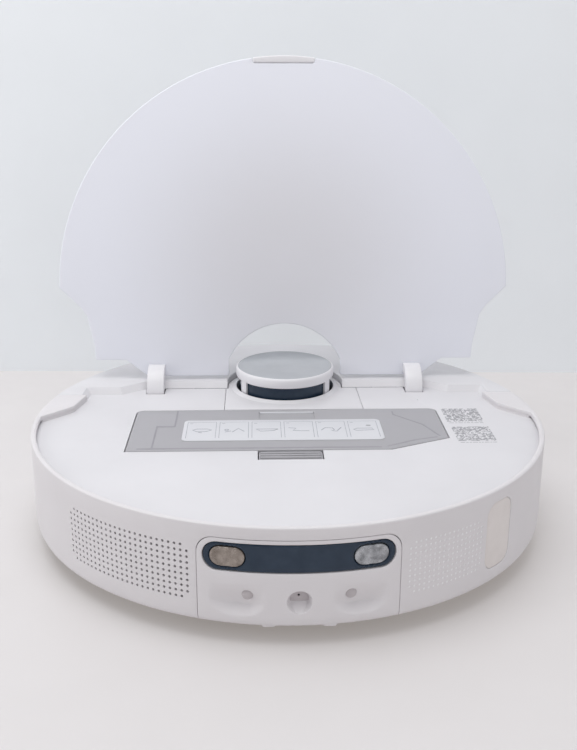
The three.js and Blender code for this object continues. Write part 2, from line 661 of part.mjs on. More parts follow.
// ---- front bumper ----
const bumperIn = INNER_R + 0.4;
const bumperProfile = [
  [bumperIn, SKIRT_Z + 2.8],
  [BODY_R - 2, SKIRT_Z + 0.8],
  [BODY_R, SKIRT_Z + 5],
  [BODY_R, BUMPER_TOP],
  [bumperIn, BUMPER_TOP],
];
const bumperWall = turned(bumperProfile, 0, 0, RIM_STEPS).intersect(
  block(-BODY_R - 1, BODY_R + 1, SEAM_Y + 0.5, BODY_R + 1, 0, BUMPER_TOP),
);
function bumperWindowCut(grow) {
  const half = BUMPER_WINDOW_HALF + grow;
  const shape = rounded(-half, half, BUMPER_WINDOW_Z0 - grow, BUMPER_WINDOW_Z1 + grow, 10.9);
  return alongY(shape, 140, BODY_R + 1);
}
add("front_bumper", cut(bumperWall, bumperWindowCut(GAP)), white);
add("bumper_window", thinWall(INNER_R + 0.6, BODY_R - 0.2).intersect(bumperWindowCut(0)), dark);

// ---- dust box: tub, filter, hinged smoky cover with its label, and the latch tab ----
const tub = cut(
  upright(dustOutline(-TUB_INSET), TUB_Z0, TUB_Z1),
  upright(dustOutline(-TUB_INSET - TUB_WALL), TUB_Z0 + TUB_WALL, TUB_Z1 + 1),
  rod(7, -130, 0, -30, 45),
  block(-DUCT_HALF, DUCT_HALF, DUST_FAR_Y - 8, DUST_FAR_Y + 1, DUCT_Z0, DUCT_Z1),
);
const baffle = joined(
  block(BAFFLE.x, BAFFLE.x + TUB_WALL, BAFFLE.y, DUST_FAR_Y - 4, TUB_Z0 + 1, TUB_Z1 - 4),
  block(BAFFLE.end, BAFFLE.x + TUB_WALL, BAFFLE.y, BAFFLE.y + TUB_WALL, TUB_Z0 + 1, TUB_Z1 - 4),
);
add("dust_tub", joined(tub, baffle), smoke);

const filterFrame = cut(
  block(FILTER.x0 - 1, FILTER.x1 + 1, FILTER.y0 - 3, FILTER.y1 + 3, FILTER.z0 - 2, FILTER.z1 + 3),
  block(FILTER.x0 - 3, FILTER.x1 + 3, FILTER.y0, FILTER.y1, FILTER.z0, FILTER.z1),
);
add("filter_frame", filterFrame, grey);

// A zigzag slab: each edge goes in and out by the fold depth at every half pitch.
function pleats() {
  const fold = 3;
  const pitch = (FILTER.y1 - FILTER.y0 - 1) / PLEATS;
  const near = [];
  const far = [];
  for (let i = 0; i <= 2 * PLEATS; i += 1) {
    const y = FILTER.y0 + 0.5 + (i * pitch) / 2;
    const inward = i % 2 ? fold : 0;
    near.push([FILTER.x0 + inward, y]);
    far.push([FILTER.x1 - fold + inward, y]);
  }
  return upright(outline([...near, ...far.reverse()]), FILTER.z0 + GAP, FILTER.z1 - GAP);
}
add("filter_pleats", pleats(), cloth);

const coverUnder = DUST_COVER_TOP - DUST_COVER_T;
const pocketShape = rounded(POCKET.x0, POCKET.x1, POCKET.y0, POCKET.y1, 2);
const fingerPocket = upright(pocketShape, DECK_Z - 0.9, DECK_Z + 1);
add("dust_cover", cut(upright(dustOutline(0), coverUnder, DUST_COVER_TOP), fingerPocket), smoke);
const labelShape = rounded(LABEL.x0, LABEL.x1, LABEL.y0, LABEL.y1, 4);
add("dust_cover_label", upright(labelShape, DUST_COVER_TOP + 0.2, DUST_COVER_TOP + 0.4), white);

const latchTop = DECK_Z - 0.1;
const latchFarY = DUST_NEAR_Y - LATCH_TRAVEL - GAP;
const latchPad = block(-LATCH_HALF, LATCH_HALF, LATCH_NEAR_Y, latchFarY, latchTop - LATCH_T, latchTop);
const latchTongue = block(-15, 15, LATCH_NEAR_Y + 3, DUST_NEAR_Y + 6, coverUnder - 2, coverUnder - GAP);
const latchRibs = Array.from({ length: LATCH_RIBS }, (_, i) => {
  const y = LATCH_NEAR_Y + 1.6 + LATCH_RIB_PITCH * i;
  return block(1 - LATCH_HALF, LATCH_HALF - 1, y, y + 1.4, latchTop - 1, latchTop + 0.7);
});
add("dust_latch", joined(latchPad, latchTongue, ...latchRibs), grey);

// ---- drive wheels on their sprung arms ----
function treadProfile() {
  const points = [];
  for (let i = 0; i < 2 * TREAD_LUGS; i += 1) {
    const r = i % 2 ? WHEEL_R - TREAD_DEPTH : WHEEL_R;
    for (const edge of [-0.3, 0.3]) {
      const a = ((i + edge) * Math.PI) / TREAD_LUGS;
      points.push([r * Math.sin(a), WHEEL_R - r * Math.cos(a)]);
    }
  }
  return outline(points);
}
for (const [side, s] of SIDES) {
  const [a0, a1] = span(s, ARM_X0, ARM_X1);
  const beamShape = outline([
    [0, WHEEL_R - 10],
    [ARM_PIVOT_Y, ARM_PIVOT_Z - 7],
    [ARM_PIVOT_Y, ARM_PIVOT_Z + 7],
    [0, WHEEL_R + 12],
  ]);
  const arm = cut(
    joined(
      rod(16, a0, a1, 0, WHEEL_R, ROUND_STEPS),
      alongX(beamShape, a0, a1),
      rod(7, a0, a1, ARM_PIVOT_Y, ARM_PIVOT_Z),
    ),
    rod(AXLE_R + GAP, a0 - 1, a1 + 1, 0, WHEEL_R),
    rod(ARM_PIN_R + 0.2, a0 - 1, a1 + 1, ARM_PIVOT_Y, ARM_PIVOT_Z),
  );
  add("wheel_arm_" + side, arm, black);
  add("arm_pivot_pin_" + side, rod(ARM_PIN_R, ...span(s, 109, 122.5), ARM_PIVOT_Y, ARM_PIVOT_Z), steel);
  const drum = rod(HUB_R, ...span(s, WHEEL_X0 + 0.5, WHEEL_X1 - 0.5), 0, WHEEL_R, ROUND_STEPS);
  const journal = rod(AXLE_R, ...span(s, 110, WHEEL_X0 + 2), 0, WHEEL_R);
  add("wheel_hub_" + side, joined(drum, journal), grey);
  const [t0, t1] = span(s, WHEEL_X0, WHEEL_X1);
  const bore = rod(HUB_R + GAP, t0 - 1, t1 + 1, 0, WHEEL_R, ROUND_STEPS);
  add("wheel_tyre_" + side, cut(alongX(treadProfile(), t0, t1), bore), rubber);
}

// ---- front caster ----
const rollerY = CASTER_Y - CASTER_TRAIL;
const fork = cut(
  joined(disc(CASTER_FORK_R, 9, 31, 0, CASTER_Y), disc(6, 30, 37, 0, CASTER_Y)),
  block(-7.5, 7.5, rollerY - CASTER_R - 2, rollerY + CASTER_R + 2, 0, 28),
  rod(2.3, -30, 30, rollerY, CASTER_R),
);
add("caster_fork", fork, black);
const roller = rod(CASTER_R, -6.5, 6.5, rollerY, CASTER_R, ROUND_STEPS);
add("caster_wheel", joined(roller, rod(2, -14, 14, rollerY, CASTER_R)), rubber);

// ---- main brush, its chamber and its guard ----
const finSection = [[BRUSH_CORE_R, -0.28], [BRUSH_R, -0.05], [BRUSH_R, 0.05], [BRUSH_CORE_R, 0.28]];
const brushProfile = [];
for (let i = 0; i < BRUSH_FINS; i += 1) {
  for (const [r, offset] of finSection) {
    const a = (2 * Math.PI * (i + offset)) / BRUSH_FINS;
    brushProfile.push([BRUSH_Y + r * Math.cos(a), BRUSH_Z + r * Math.sin(a)]);
  }
}
const brushBody = alongX(outline(brushProfile), 4 - BRUSH_HALF, BRUSH_HALF - 4);
const brushShaft = rod(6, -BRUSH_HALF, BRUSH_HALF, BRUSH_Y, BRUSH_Z);
add("main_brush", joined(brushBody, brushShaft), rubber);

const alongBrush = (r, half, steps) => rod(r, -half, half, BRUSH_Y, BRUSH_Z, steps);
const duct = block(-DUCT_HALF - 2, DUCT_HALF + 2, DUST_FAR_Y - 2.6, BRUSH_Y - 10, DUCT_Z0 - 2, DUCT_Z1 + 2);
const chamber = cut(
  joined(alongBrush(CHAMBER_R, CHAMBER_HALF, ROUND_STEPS), duct),
  alongBrush(CHAMBER_IN_R, CHAMBER_HALF - 2.4, ROUND_STEPS),
  block(-CHAMBER_HALF - 1, CHAMBER_HALF + 1, BRUSH_Y - 40, BRUSH_Y + 40, -20, BASE_Z1 + GAP),
  block(-DUCT_HALF, DUCT_HALF, 0, BRUSH_Y - 12, DUCT_Z0, DUCT_Z1),
  alongBrush(6.4, CHAMBER_HALF + 1),
);
add("brush_chamber", chamber, black);
const guardZ = BASE_Z0 - GAP;
const guard = cut(
  block(-BRUSH_HALF - 10, BRUSH_HALF + 10, BRUSH_Y - 28, BRUSH_Y + 28, guardZ - 2.1, guardZ),
  block(-BRUSH_HALF - 2, BRUSH_HALF + 2, BRUSH_Y - 21, BRUSH_Y + 21, 0, BASE_Z1),
);
add("brush_guard", guard, grey);

// ---- side brush ----
const atSideBrush = (r, z0, z1) => disc(r, z0, z1, SIDE_BRUSH_X, SIDE_BRUSH_Y);
const sideBrushArms = [15, 135, 255].map((deg) =>
  block(6, SIDE_BRUSH_ARM, -3, 3, 3, 5.5).rotate([0, 0, deg]).translate([SIDE_BRUSH_X, SIDE_BRUSH_Y, 0]),
);
add("side_brush", joined(atSideBrush(12, 3, 9), atSideBrush(6, 8, 24), ...sideBrushArms), rubber);

// ---- mops ----
for (const [side, s] of SIDES) {
  const x = s * MOP_X;
  const atMop = (r, z0, z1) => disc(r, z0, z1, x, MOP_Y);
  add("mop_plate_" + side, joined(atMop(MOP_R - 3, MOP_PAD_T + GAP, 9), atMop(MOP_SHAFT_R, 8, 24)), grey);
  add("mop_pad_" + side, atMop(MOP_R, 0, MOP_PAD_T), cloth);
  const gearbox = block(x - 16, x + 16, MOP_Y - 22, MOP_Y + 18, BASE_Z1 + GAP, 42);
  add("mop_gearbox_" + side, cut(gearbox, atMop(MOP_SHAFT_R + 1, 10, 30)), black);
}

// ---- inside the body ----
const plate = ({ x0, x1, y0, y1, z0, z1 }, r) => upright(rounded(x0, x1, y0, y1, r), z0, z1);
add("battery_pack", plate(BATTERY, 6), black);
add("main_board", plate(BOARD, 3), board);
function tankWithin(inset) {
  const { x0, x1, y1, z0, z1, r } = TANK;
  return disc(r - inset, z0 + inset, z1 - inset, 0, 0, RIM_STEPS).intersect(
    block(x0 + inset, x1 - inset, -r, y1 - inset, z0 + inset, z1 - inset),
  );
}
const fillHole = disc(TANK_CAP.r, TANK.z0 + 14, TANK.z1 + 7, TANK_CAP.x, TANK_CAP.y);
add("water_tank", cut(tankWithin(0), tankWithin(TANK.wall), fillHole), smoke);
const scroll = disc(FAN.r, FAN.z0, FAN.z1, FAN.x, FAN.y);
const inlet = disc(14, FAN.z0 - 12, FAN.z0 + 1, FAN.x, FAN.y);
add("suction_fan", joined(scroll, inlet), black);
const speakerBody = alongY(circle(0, SPEAKER.z, SPEAKER.d), SPEAKER.y0, SPEAKER.y1);
add("speaker", speakerBody.rotate([0, 0, SPEAKER.deg]), black);

export default group;
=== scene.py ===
"""A white, disc-shaped robot vacuum and mop with its round lid open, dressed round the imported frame.

Lengths in this script are millimetres until piece() turns them into metres. -Y is the rear, which
carries the docking panel and faces the camera, +Y is the driving front and +Z is up.
"""

import json
import math
import random

import bmesh
import bpy
import numpy as np
from mathutils import Matrix, Vector
from mathutils.geometry import delaunay_2d_cdt


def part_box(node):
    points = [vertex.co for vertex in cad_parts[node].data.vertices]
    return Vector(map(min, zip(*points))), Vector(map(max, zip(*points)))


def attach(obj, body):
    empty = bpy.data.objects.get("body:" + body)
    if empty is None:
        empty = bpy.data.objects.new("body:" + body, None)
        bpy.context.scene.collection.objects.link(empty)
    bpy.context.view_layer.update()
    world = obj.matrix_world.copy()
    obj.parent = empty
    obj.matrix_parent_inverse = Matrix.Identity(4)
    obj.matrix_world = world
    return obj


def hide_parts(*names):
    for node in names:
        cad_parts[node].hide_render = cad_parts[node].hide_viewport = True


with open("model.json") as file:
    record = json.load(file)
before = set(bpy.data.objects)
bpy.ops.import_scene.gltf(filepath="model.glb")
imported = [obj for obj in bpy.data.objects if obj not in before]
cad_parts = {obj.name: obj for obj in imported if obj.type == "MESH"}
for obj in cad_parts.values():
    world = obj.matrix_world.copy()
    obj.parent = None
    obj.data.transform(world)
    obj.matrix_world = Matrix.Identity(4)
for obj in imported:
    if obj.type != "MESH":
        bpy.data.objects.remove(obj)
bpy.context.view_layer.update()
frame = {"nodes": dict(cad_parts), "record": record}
MM = 0.001


def node_box(node):
    """Lowest and highest corner of a CAD node at rest, in millimetres."""
    low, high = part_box(node)
    return low / MM, high / MM


def middle(node):
    """The middle of a CAD node's box, in millimetres."""
    return [(a + b) / 2 for a, b in zip(*node_box(node))]


def half_size(node):
    return [(b - a) / 2 for a, b in zip(*node_box(node))]


def heights(node):
    """The lowest and highest z of a CAD node."""
    return [corner.z for corner in node_box(node)]


# ---- sizes that come from the frame ----
SHELL_LOW, SHELL_HIGH = node_box("rear_shell")
BODY_R = SHELL_HIGH.x
RIM_Z = SHELL_HIGH.z
SKIRT_Z = SHELL_LOW.z
DECK_UNDER, DECK_Z = heights("deck_plate")
COVER_NEAR_Y = node_box("front_cover")[0].y
BUMPER_LOW, BUMPER_HIGH = node_box("front_bumper")
PANEL_LOW, PANEL_HIGH = node_box("docking_panel")
DUST_LOW, DUST_HIGH = node_box("dust_cover")
LABEL_LOW, LABEL_HIGH = node_box("dust_cover_label")
LATCH_LOW, LATCH_HIGH = node_box("dust_latch")
SURROUND_LOW, SURROUND_HIGH = node_box("turret_surround")
CAP_LOW, CAP_HIGH = node_box("lidar_cap")
TURRET_Y = middle("lidar_cap")[1]
HINGE_X, HINGE_Y, HINGE_Z = middle("hinge_pin_right")
ARM_LOW, ARM_HIGH = node_box("hinge_arm_right")

# ---- sizes of the fine shapes ----
GAP = 0.3
BEVEL = 1.2
HEM_IN = 2.4
HEM_H = 5.0
HEM_LEN = 6.0
SKIN_T = 2.4
INNER_R = BODY_R - 3.4
SEAM_Y = COVER_NEAR_Y - GAP
BUMPER_GAP_Y = SEAM_Y - 2.5
RECESS_SIDE = [(172.5, -2.0), (156.5, 15.0), (152.5, 20.0), (147.0, 45.0), (146.5, 57.0)]
RECESS_STEP = [(123.0, 57.0), (106.0, 70.0)]
SMOOTH_DEG = 32


# ---- outlines in a plane ----
def spaced(start, end, steps):
    """Evenly spaced values from start to end, both included."""
    return [start + (end - start) * i / steps for i in range(steps + 1)]


def arc(cx, cy, r, start, end, steps):
    """Points on an arc from start to end degrees, both ends included."""
    turns = map(math.radians, spaced(start, end, steps))
    return [(cx + r * math.cos(a), cy + r * math.sin(a)) for a in turns]


def asin_deg(share):
    return math.degrees(math.asin(share))


def acos_deg(share):
    return math.degrees(math.acos(share))


def circle(cx, cy, r, steps):
    return arc(cx, cy, r, 0, 360, steps)[:-1]


def oblong(x0, x1, y0, y1, r, steps=8):
    """A rectangle with rounded corners, counter-clockwise."""
    r = min(r, (x1 - x0) / 2 - 0.01, (y1 - y0) / 2 - 0.01)
    corners = ((x1 - r, y1 - r), (x0 + r, y1 - r), (x0 + r, y0 + r), (x1 - r, y0 + r))
    return [point for i, (x, y) in enumerate(corners) for point in arc(x, y, r, 90 * i, 90 * i + 90, steps)]


def wound(loop, ccw):
    """The loop, turned round if it doesn't already run counter-clockwise, or clockwise if ccw is false."""
    area = sum(a[0] * b[1] - b[0] * a[1] for a, b in zip(loop, loop[1:] + loop[:1]))
    return loop if (area > 0) == ccw else loop[::-1]


def cleaned(loop, least=0.01):
    """The loop without points that lie on the one before."""
    kept = []
    for p in loop:
        if not kept or math.dist(p, kept[-1]) > least:
            kept.append(p)
    if math.dist(kept[0], kept[-1]) <= least:
        kept.pop()
    return kept


def divided(points, step, closed=True):
    """The same outline or open line with no edge longer than step."""
    fine = []
    for a, b in zip(points, points[1:] + points[:1] if closed else points[1:]):
        count = max(1, math.ceil(math.dist(a, b) / step))
        fine += [(a[0] + (b[0] - a[0]) * i / count, a[1] + (b[1] - a[1]) * i / count) for i in range(count)]
    return fine if closed else fine + points[-1:]


def inset(loop, distance):
    """The loop moved to its left by a distance, so a counter-clockwise outline shrinks."""
    moved = []
    count = len(loop)
    for i, (x, y) in enumerate(loop):
        before = Vector((x, y)) - Vector(loop[i - 1])
        after = Vector(loop[(i + 1) % count]) - Vector((x, y))
        before.normalize()
        after.normalize()
        normal = Vector((-before.y - after.y, before.x + after.x))
        share = max(0.35, 1 + before.dot(after))
        moved.append((x + normal.x * distance / share, y + normal.y * distance / share))
    return moved


def softened(points, radius, steps=5, closed=True):
    """The outline with each sharp corner turned into an arc. An open line keeps its two ends."""
    soft = []
    count = len(points)
    for i, corner in enumerate(points):
        if not closed and i in (0, count - 1):
            soft.append(corner)
            continue
        here = Vector(corner)
        back = Vector(points[i - 1]) - here
        ahead = Vector(points[(i + 1) % count]) - here
        turn = math.pi - back.angle(ahead)
        if turn < math.radians(12):
            soft.append(corner)
            continue
        reach = min(radius * math.tan(turn / 2), back.length * 0.45, ahead.length * 0.45)
        start = here + back.normalized() * reach
        end = here + ahead.normalized() * reach
        for t in spaced(0, 1, steps):
            point = start * (1 - t) ** 2 + here * 2 * t * (1 - t) + end * t**2
            soft.append((point.x, point.y))
    return soft


def flipped(points):
    """The mirror image of the points, in reverse order."""
    return [(-x, y) for x, y in reversed(points)]


def mirrored(points):
    """The points, then their mirror image back to the start."""
    return list(points) + flipped(points)


def inside(loop, points):
    """Which of the points lie inside the loop."""
    corners = np.array(loop)
    nexts = np.roll(corners, -1, axis=0)
    hit = np.zeros(len(points), bool)
    for (x0, y0), (x1, y1) in zip(corners, nexts):
        if y0 == y1:
            continue
        spans = (y0 > points[:, 1]) != (y1 > points[:, 1])
        across = x0 + (points[:, 1] - y0) * (x1 - x0) / (y1 - y0)
        hit ^= spans & (points[:, 0] < across)
    return hit


def distance_to(loops, points):
    """Distance from each point to the nearest edge of any of the loops."""
    best = np.full(len(points), 1e9)
    for loop in loops:
        starts = np.array(loop)
        ends = np.roll(starts, -1, axis=0)
        for a, b in zip(starts, ends):
            along = b - a
            t = np.clip(((points - a) @ along) / max(along @ along, 1e-12), 0, 1)
            best = np.minimum(best, np.linalg.norm(points - a - t[:, None] * along, axis=1))
    return best


def triangles(loops, extra=()):
    """Points and triangles of the area inside the first loop and outside the others."""
    points = []
    edges = []
    for loop in loops:
        start = len(points)
        points += loop
        edges += [(start + i, start + (i + 1) % len(loop)) for i in range(len(loop))]
    points += list(extra)
    coords, _, faces, origins, _, _ = delaunay_2d_cdt([Vector(p) for p in points], edges, [], 1, 1e-6)
    if any(not o for o in origins):
        raise ValueError("two outlines cross")
    index = [o[0] for o in origins]
    middles = np.array([sum((coords[i] for i in f), Vector((0, 0))) / 3 for f in faces])
    keep = inside(loops[0], middles)
    for hole in loops[1:]:
        low = np.min(hole, axis=0)
        high = np.max(hole, axis=0)
        near = np.all((middles >= low) & (middles <= high), axis=1) & keep
        keep[np.flatnonzero(near)[inside(hole, middles[near])]] = False
    made = []
    for f, kept in zip(faces, keep):
        if kept:
            a, b, c = (coords[i] for i in f)
            order = f if (b - a).cross(c - a) > 0 else f[::-1]
            made.append([index[i] for i in order])
    return points, made


# ---- solids ----
def bridge(bm, rings, along=False, capped=False):
    """Faces between each ring of vertices and the next. along joins last to first, capped closes the ends."""
    for a, b in zip(rings, rings[1:] + rings[:1] if along else rings[1:]):
        count = max(len(a), len(b))
        for i in range(count):
            j = (i + 1) % count
            corners = [a[i % len(a)], a[j % len(a)], b[j % len(b)], b[i % len(b)]]
            bm.faces.new(list(dict.fromkeys(corners)))
    if capped:
        bm.faces.new(rings[0][::-1])
        bm.faces.new(rings[-1])


def slab(loops, profile):
    """A flat solid: profile gives (inset, z) from the underside to the top, and holes follow the outline."""
    bm = bmesh.new()
    ends = ([], [])
    for i, loop in enumerate(loops):
        loop = wound(cleaned(loop), i == 0)
        rings = [[bm.verts.new((x, y, z)) for x, y in inset(loop, d)] for d, z in profile]
        bridge(bm, rings)
        ends[0].append(rings[0])
        ends[1].append(rings[-1])
    for rings, order in zip(ends, (-1, 1)):
        flat = [[(v.co.x, v.co.y) for v in ring] for ring in rings]
        corners = [v for ring in rings for v in ring]
        for face in triangles(flat)[1]:
            bm.faces.new([corners[i] for i in face[::order]])
    return bm


def plate(x0, x1, y0, y1, r, profile, steps=8):
    """An oblong slab."""
    return slab([oblong(x0, x1, y0, y1, r, steps)], profile)


def round_top(z0, z1, radius, steps=4):
    """The profile of a slab whose top edge is rounded."""
    turns = spaced(0, math.pi / 2, steps)
    return [(0, z0)] + [(radius * (1 - math.cos(a)), z1 - radius * (1 - math.sin(a))) for a in turns]


def round_both(z0, z1, radius, steps=4):
    """The profile of a slab whose top and bottom edges are rounded."""
    upper = round_top(z0, z1, radius, steps)[1:]
    lower = [(d, z0 + z1 - z) for d, z in reversed(upper)]
    return lower + upper


def lathe(profile, steps=96, centre=(0, 0)):
    """A solid of revolution about a vertical line, from (radius, z) points on it at both ends or closed."""
    bm = bmesh.new()
    rings = [
        [bm.verts.new((x, y, z)) for x, y in (circle(*centre, r, steps) if r > 0 else [centre])]
        for r, z in profile
    ]
    bridge(bm, rings, along=len(rings[0]) > 1)
    return bm


def merged(*solids):
    """One bmesh that holds all the solids."""
    whole = bmesh.new()
    for solid in solids:
        passing = bpy.data.meshes.new("passing")
        solid.to_mesh(passing)
        solid.free()
        whole.from_mesh(passing)
        bpy.data.meshes.remove(passing)
    return whole


def placed(name, data):
    """A new object in the scene."""
    made = bpy.data.objects.new(name, data)
    bpy.context.scene.collection.objects.link(made)
    return made


# Lays a flat solid along X: its own x, y and z become Y, Z and X.
ALONG_X = Matrix(((0, 0, 1, 0), (1, 0, 0, 0), (0, 1, 0, 0), (0, 0, 0, 1)))


def turned(bm, matrix):
    bmesh.ops.transform(bm, matrix=matrix, verts=bm.verts)
    return bm


def piece(name, bm, look, body, *nodes, sharp_deg=SMOOTH_DEG):
    """Puts a finished solid in the scene, in metres, with its finish, riding on a CAD body."""
    bmesh.ops.scale(bm, vec=(MM, MM, MM), verts=bm.verts)
    bmesh.ops.remove_doubles(bm, verts=bm.verts, dist=1e-7)
    bmesh.ops.dissolve_degenerate(bm, dist=1e-8, edges=bm.edges)
    bmesh.ops.recalc_face_normals(bm, faces=bm.faces)
    for edge in bm.edges:
        edge.smooth = len(edge.link_faces) == 2 and edge.calc_face_angle(0) < math.radians(sharp_deg)
    for face in bm.faces:
        face.smooth = True
    mesh = bpy.data.meshes.new(name)
    bm.to_mesh(mesh)
    bm.free()
    mesh.materials.append(FINISHES[look])
    made = placed(name, mesh)
    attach(made, body)
    if nodes:
        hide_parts(*nodes)
    return made


# ---- the skin of the round wall: u runs round it from the rear to the right, v up it ----
HEM_TOP = SKIRT_Z + HEM_H
BASE_V = HEM_TOP - HEM_LEN
BEVEL_LOW = RIM_Z - BEVEL
QUARTER = BEVEL * math.pi / 2
RIM_V = BEVEL_LOW + QUARTER


def wall_place(u, v, depth):
    """A point of the side wall, sunk by depth. Above it v runs over the bevel and inwards along the rim."""
    if v > BEVEL_LOW:
        past = v - BEVEL_LOW
        if past < QUARTER:
            a = past / BEVEL
            r = BODY_R - BEVEL + (BEVEL - depth) * math.cos(a)
            z = BEVEL_LOW + (BEVEL - depth) * math.sin(a)
        else:
            r = BODY_R - BEVEL - (past - QUARTER)
            z = RIM_Z - depth
        if depth > BEVEL:
            r = min(BODY_R - BEVEL - max(0.0, past - QUARTER), BODY_R - depth)
            z = RIM_Z - depth
    elif v < HEM_TOP:
        a = min(1.0, (HEM_TOP - v) / HEM_LEN) * math.pi / 2
        r = BODY_R - HEM_IN * (1 - math.cos(a)) - depth * math.cos(a / 2)
        z = HEM_TOP - HEM_H * math.sin(a) + depth * math.sin(a / 2) * 0.4
    else:
        r = BODY_R - depth
        z = min(v, RIM_Z - depth) if depth > BEVEL else v
    turn = u / BODY_R
    return (r * math.sin(turn), -r * math.cos(turn), z)


def rim_v(r):
    """The v of a point of the flat rim at radius r."""
    return RIM_V + BODY_R - BEVEL - r


def rim_u(x, y):
    return BODY_R * math.atan2(x, -y)


def u_of_x(x):
    return BODY_R * math.asin(x / BODY_R)


def grid(u0, u1, v0, v1, step_u, step_v):
    """Points over a rectangle, evenly spaced."""
    count_u = max(1, round((u1 - u0) / step_u))
    count_v = max(1, round((v1 - v0) / step_v))
    return [(u, v) for u in spaced(u0, u1, count_u) for v in spaced(v0, v1, count_v)]


def area_grid(loop, step_u, step_v):
    """A grid over the rectangle that holds a loop."""
    (u0, v0), (u1, v1) = np.min(loop, axis=0), np.max(loop, axis=0)
    return grid(u0, u1, v0, v1, step_u, step_v)


def skin(outline, holes=(), dots=(), points=(), thickness=SKIN_T, roll=0.4, sink=0.0, back=0.0):
    """A closed curved plate of the side wall.

    The edges roll inwards over the roll radius, dots are plain round holes without a roll, points are
    extra places for vertices, sink is how deep the face lies, a number or a function of u and v, and
    back is the least depth of its back.
    """
    outline = wound(divided(cleaned(outline), 3.0), True)
    holes = [wound(divided(cleaned(hole), 3.0), False) for hole in holes]
    dots = [wound(dot, False) for dot in dots]
    edges = [outline, *holes]
    extra = []
    for share in (0.15, 0.5, 1.0) if roll else ():
        for loop in edges:
            extra += inset(loop, roll * share)
    if len(points):
        spaced = np.array(points)
        clear = inside(outline, spaced) & (distance_to(edges, spaced) > max(0.35, 1.2 * roll))
        for hole in holes:
            clear &= ~inside(hole, spaced)
        if dots:
            middles = np.array([np.mean(dot, axis=0) for dot in dots])
            reach = math.dist(middles[0], dots[0][0]) * 1.4
            clear &= np.array([np.min(np.linalg.norm(middles - p, axis=1)) for p in spaced]) > reach
        extra += [tuple(p) for p in spaced[clear]]
    loops = edges + dots
    flat, faces = triangles(loops, extra)
    drop = np.zeros(len(flat))
    if roll:
        share = np.clip(distance_to(edges, np.array(flat)) / roll, 0, 1)
        drop = roll * (1 - np.sqrt(np.clip(1 - (1 - share) ** 2, 0, 1)))
    bm = bmesh.new()
    outer = []
    inner = []
    for (u, v), rolled in zip(flat, drop):
        depth = rolled + (sink(u, v) if callable(sink) else sink)
        outer.append(bm.verts.new(wall_place(u, v, depth)))
        inner.append(bm.verts.new(wall_place(u, v, max(back, depth + thickness))))
    for face in faces:
        bm.faces.new([outer[i] for i in face])
        bm.faces.new([inner[i] for i in reversed(face)])
    start = 0
    for loop in loops:
        end = start + len(loop)
        bridge(bm, [inner[start:end], outer[start:end]])
        start = end
    return bm


# ---- finishes ----
FINISHES = {}


def linear(*colour):
    """An sRGB colour from 0 to 255 as the linear colour that shaders take."""
    shares = (c / 255 for c in colour)
    return (*(c / 12.92 if c <= 0.04045 else ((c + 0.055) / 1.055) ** 2.4 for c in shares), 1.0)


def fill(tree, node, inputs):
    """Links each named input to the output that is given for it, or sets it to the plain value."""
    for name, value in inputs.items():
        if isinstance(value, bpy.types.NodeSocket):
            tree.links.new(value, node.inputs[name])
        else:
            node.inputs[name].default_value = value
    return node


def add_node(tree, kind, inputs, **settings):
    """A new shader node with its settings and inputs."""
    node = tree.nodes.new("ShaderNode" + kind)
    for name, value in settings.items():
        setattr(node, name, value)
    return fill(tree, node, inputs)


def noise(tree, coords, size, detail=2.0, stretch=(1, 1, 1)):
    """A noise texture whose features are about size millimetres across."""
    mapped = add_node(tree, "Mapping", {"Vector": coords, "Scale": stretch}).outputs["Vector"]
    inputs = {"Vector": mapped, "Scale": 1 / (size * MM), "Detail": detail}
    return add_node(tree, "TexNoise", inputs).outputs["Fac"]


def ramp(tree, value, stops):
    """A colour ramp from (position, colour) stops."""
    node = add_node(tree, "ValToRGB", {"Fac": value})
    elements = node.color_ramp.elements
    while len(elements) < len(stops):
        elements.new(0.5)
    for element, (position, colour) in zip(elements, stops):
        element.position = position
        element.color = colour
    return node.outputs["Color"]


def spread(tree, value, low, high):
    """The value moved from 0.3..0.7 to low..high."""
    inputs = {"Value": value, "From Min": 0.3, "From Max": 0.7, "To Min": low, "To Max": high}
    return add_node(tree, "MapRange", inputs).outputs["Result"]


def finish(
    name, colour, roughness, mottle=3, patch=30, rough_spread=0.04, grain=0.5, grain_depth=0.01,
    stretch=(1, 1, 1), metallic=0.0, coat=0.0, sheen=0.0, alpha=1.0, specular=0.5,
):
    """A procedural finish: a colour that wanders by mottle (of 255), wandering roughness and a fine grain.

    Its slot is the material slot of the same name.
    """
    made = bpy.data.materials.new(name)
    made.use_nodes = True
    made.diffuse_color = linear(*colour)
    tree = made.node_tree
    coords = add_node(tree, "TexCoord", {}).outputs["Object"]
    darker = linear(*(max(0, c - mottle) for c in colour))
    lighter = linear(*(min(255, c + mottle) for c in colour))
    fine = noise(tree, coords, grain, 2.0, stretch)
    bump = add_node(tree, "Bump", {"Height": fine, "Strength": 0.6, "Distance": grain_depth * MM})
    fill(tree, tree.nodes["Principled BSDF"], {
        "Base Color": ramp(tree, noise(tree, coords, patch, 3.0), [(0.3, darker), (0.7, lighter)]),
        "Roughness": spread(
            tree, noise(tree, coords, patch / 3), roughness - rough_spread, roughness + rough_spread
        ),
        "Normal": bump.outputs["Normal"],
        "Metallic": metallic,
        "Coat Weight": coat,
        "Coat Roughness": 0.15,
        "Sheen Weight": sheen,
        "Alpha": alpha,
        "Specular IOR Level": specular,
    })
    FINISHES[name] = made
    return made


